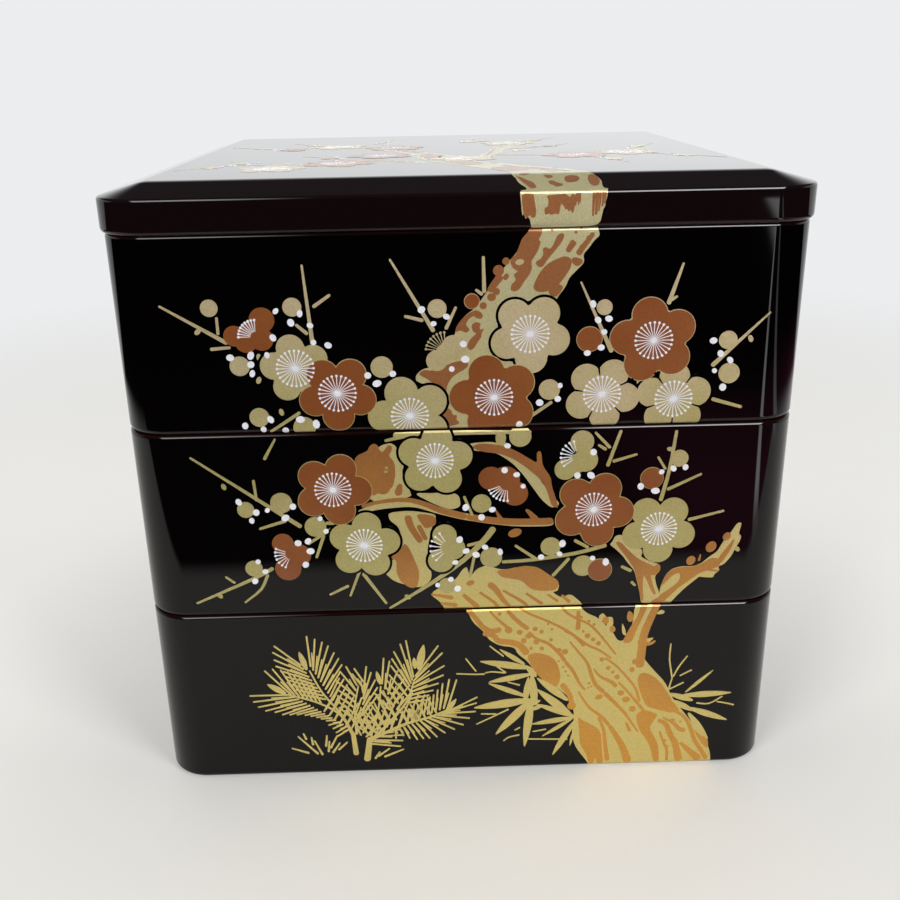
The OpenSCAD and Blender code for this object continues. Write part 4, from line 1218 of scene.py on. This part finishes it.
BACKDROP = (0.84, 0.85, 0.86)
# All lamps aim here, near the middle of the box
LAMP_AIM = (0, 0, 0.1)


def add_floor():
    """A pale sheet that the box stands on. Its far front is dark to mirror and bounce rays."""
    bm = bmesh.new()
    bmesh.ops.create_grid(bm, x_segments=1, y_segments=1, size=2.5)
    mesh = bpy.data.meshes.new("floor")
    bm.to_mesh(mesh)
    bm.free()
    floor = bpy.data.objects.new("floor", mesh)
    bpy.context.scene.collection.objects.link(floor)
    material, tree, shader = new_material("pale_paper")
    shader.inputs["Roughness"].default_value = 0.9
    shader.inputs["Specular IOR Level"].default_value = 0
    place = object_place(tree)
    x, y, _ = axes(tree, place)
    length = tree.nodes.new("ShaderNodeVectorMath")
    length.operation = "LENGTH"
    tree.links.new(place, length.inputs[0])
    far = length.outputs["Value"]
    rays = tree.nodes.new("ShaderNodeLightPath").outputs
    # Beside the box the mirrored sheet ends sooner than behind it
    reach = math_node(tree, "MAXIMUM", map_range(tree, far, 0.44, 0.54, 1, 0), map_range(tree, y, 0.2, 0.3))
    near = times(tree, map_range(tree, y, -0.255, -0.235), reach)
    seen = math_node(tree, "MAXIMUM", near, rays["Is Camera Ray"])
    # Past the sheet's front, on the right, a dim red patch that the camera doesn't see puts a painted red
    # reflection in the middle tier
    red_reflection_patch = times(tree, map_range(tree, x, 0.05, 0.14), map_range(tree, y, -0.55, -0.42))
    beyond = ramp(tree, red_reflection_patch, [(0, (0.02, 0.018, 0.02)), (1, (0.27, 0.07, 0.13))])
    paper = mix_colours(tree, seen, beyond, (0.66, 0.645, 0.61))
    # Away from the box the sheet brightens into the backdrop, as a swept paper background does.
    # To the camera and to mirrored rays it also glows more towards the back: a painted glow that lightens
    # the floor beside the box and its reflection in the bottom tier.
    away = map_range(tree, far, 0.28, 0.78)
    bright = math_node(tree, "MAXIMUM", rays["Is Camera Ray"], rays["Is Glossy Ray"])
    bright = times(tree, bright, map_range(tree, y, -0.3, 0.1, 0.0, 0.3))
    glow = math_node(tree, "ADD", away, times(tree, bright, math_node(tree, "SUBTRACT", 1, away)))
    # Two strips of light on the floor in front to the right, for mirrored rays alone, draw thin lines
    # down the box's right front corner
    strip = tree.nodes.new("ShaderNodeMapping")
    strip.vector_type = "TEXTURE"
    strip.inputs["Location"].default_value = (0.2, -0.22, 0)
    strip.inputs["Rotation"].default_value = (0, 0, math.radians(-74))
    tree.links.new(place, strip.inputs["Vector"])
    along, across, _ = axes(tree, strip.outputs[0])
    lines = math_node(tree, "ADD", between(tree, across, -0.03, 0.03, 0.015),
                      times(tree, between(tree, across, 0.18, 0.25, 0.02), 0.35))
    lines = times(tree, lines, between(tree, along, 0, 1.4, 0.1), rays["Is Glossy Ray"], 4.5)
    shine = math_node(tree, "ADD", times(tree, glow, seen), lines)
    tree.links.new(shine, shader.inputs["Emission Strength"])
    shader.inputs["Emission Color"].default_value = (*BACKDROP, 1)
    tree.links.new(mix_colours(tree, away, paper, (0, 0, 0)), shader.inputs["Base Color"])
    mesh.materials.append(material)


def add_world():
    """The backdrop to the camera. Mirrored rays see it bright beside and behind the box, under a dim ceiling.

    Two bright panes high in front, seen by mirrored rays alone, paint highlight lines along the rims.
    """
    world = bpy.data.worlds.new("studio")
    bpy.context.scene.world = world
    world.use_nodes = True
    tree = world.node_tree
    background = tree.nodes["Background"]
    background.inputs["Color"].default_value = (*BACKDROP, 1)
    x, y, z = axes(tree, tree.nodes.new("ShaderNodeTexCoord").outputs["Generated"])
    rays = tree.nodes.new("ShaderNodeLightPath").outputs
    # The wall behind brightens upward and to the right, so that the lid's top mirrors it evenly
    wall = times(tree, map_range(tree, z, 0.22, 0.52, 1, 0), map_range(tree, y, -0.35, 0.05),
                 map_range(tree, z, 0, 0.1, 1, 1.3), map_range(tree, x, -0.3, 0.3, 0.95, 1.05))
    # Two bright panes high in front, for mirrored rays alone: painted highlight lines along the rims
    panes = math_node(tree, "ADD", times(tree, between(tree, x, -0.50, -0.10, 0.14), 0.5),
                      between(tree, x, 0.12, 0.50, 0.06))
    painted_rim_highlights = times(tree, panes, between(tree, z, 0.26, 0.85, 0.06), map_range(tree, y, -0.3, -0.2, 1, 0),
                    24, rays["Is Glossy Ray"])
    mirrored = math_node(tree, "ADD", math_node(tree, "ADD", wall, 0.06), painted_rim_highlights)
    strength = tree.nodes.new("ShaderNodeMix")
    tree.links.new(rays["Is Camera Ray"], strength.inputs["Factor"])
    tree.links.new(mirrored, strength.inputs[2])
    strength.inputs[3].default_value = 1
    tree.links.new(strength.outputs[0], background.inputs["Strength"])


def add_lamp(name, place, size, power):
    """An area lamp of a (width, height) that shines from place at the box, and that no gloss mirrors."""
    light = bpy.data.lights.new(name, "AREA")
    light.shape = "RECTANGLE"
    light.size, light.size_y = size
    light.energy = power
    lamp = bpy.data.objects.new(name, light)
    lamp.location = place
    lamp.visible_glossy = False
    lamp.rotation_euler = (Vector(LAMP_AIM) - Vector(place)).to_track_quat("-Z", "Y").to_euler()
    bpy.context.scene.collection.objects.link(lamp)


def add_camera():
    """The photograph's view: just above the lid, looking down at the front."""
    yaw, pitch, roll = 0.017, 0.361, -0.019
    data = bpy.data.cameras.new("camera")
    data.sensor_width = 36
    data.lens = 40.62
    camera = bpy.data.objects.new("camera", data)
    camera.matrix_world = (Matrix.Translation((-8.46 * MM, -370.65 * MM, 214.84 * MM))
                           @ Matrix.Rotation(-yaw, 4, "Z") @ Matrix.Rotation(math.pi / 2 - pitch, 4, "X")
                           @ Matrix.Rotation(roll, 4, "Z"))
    data.clip_start = 0.01
    bpy.context.scene.collection.objects.link(camera)
    bpy.context.scene.camera = camera


add_floor()
add_world()
add_lamp("left_front", (-0.65, -0.85, 0.62), (0.5, 0.5), 7.2)
add_lamp("right_front", (0.7, -0.8, 0.62), (0.4, 0.5), 6.6)
add_lamp("overhead", (0, 0.2, 1.2), (0.9, 0.6), 6.2)
add_lamp("left_side", (-1.1, 0, 0.5), (0.5, 0.9), 3)
add_lamp("right_side", (1.1, 0, 0.5), (0.5, 0.9), 3)
add_camera()
bpy.context.scene.view_settings.view_transform = "Standard"
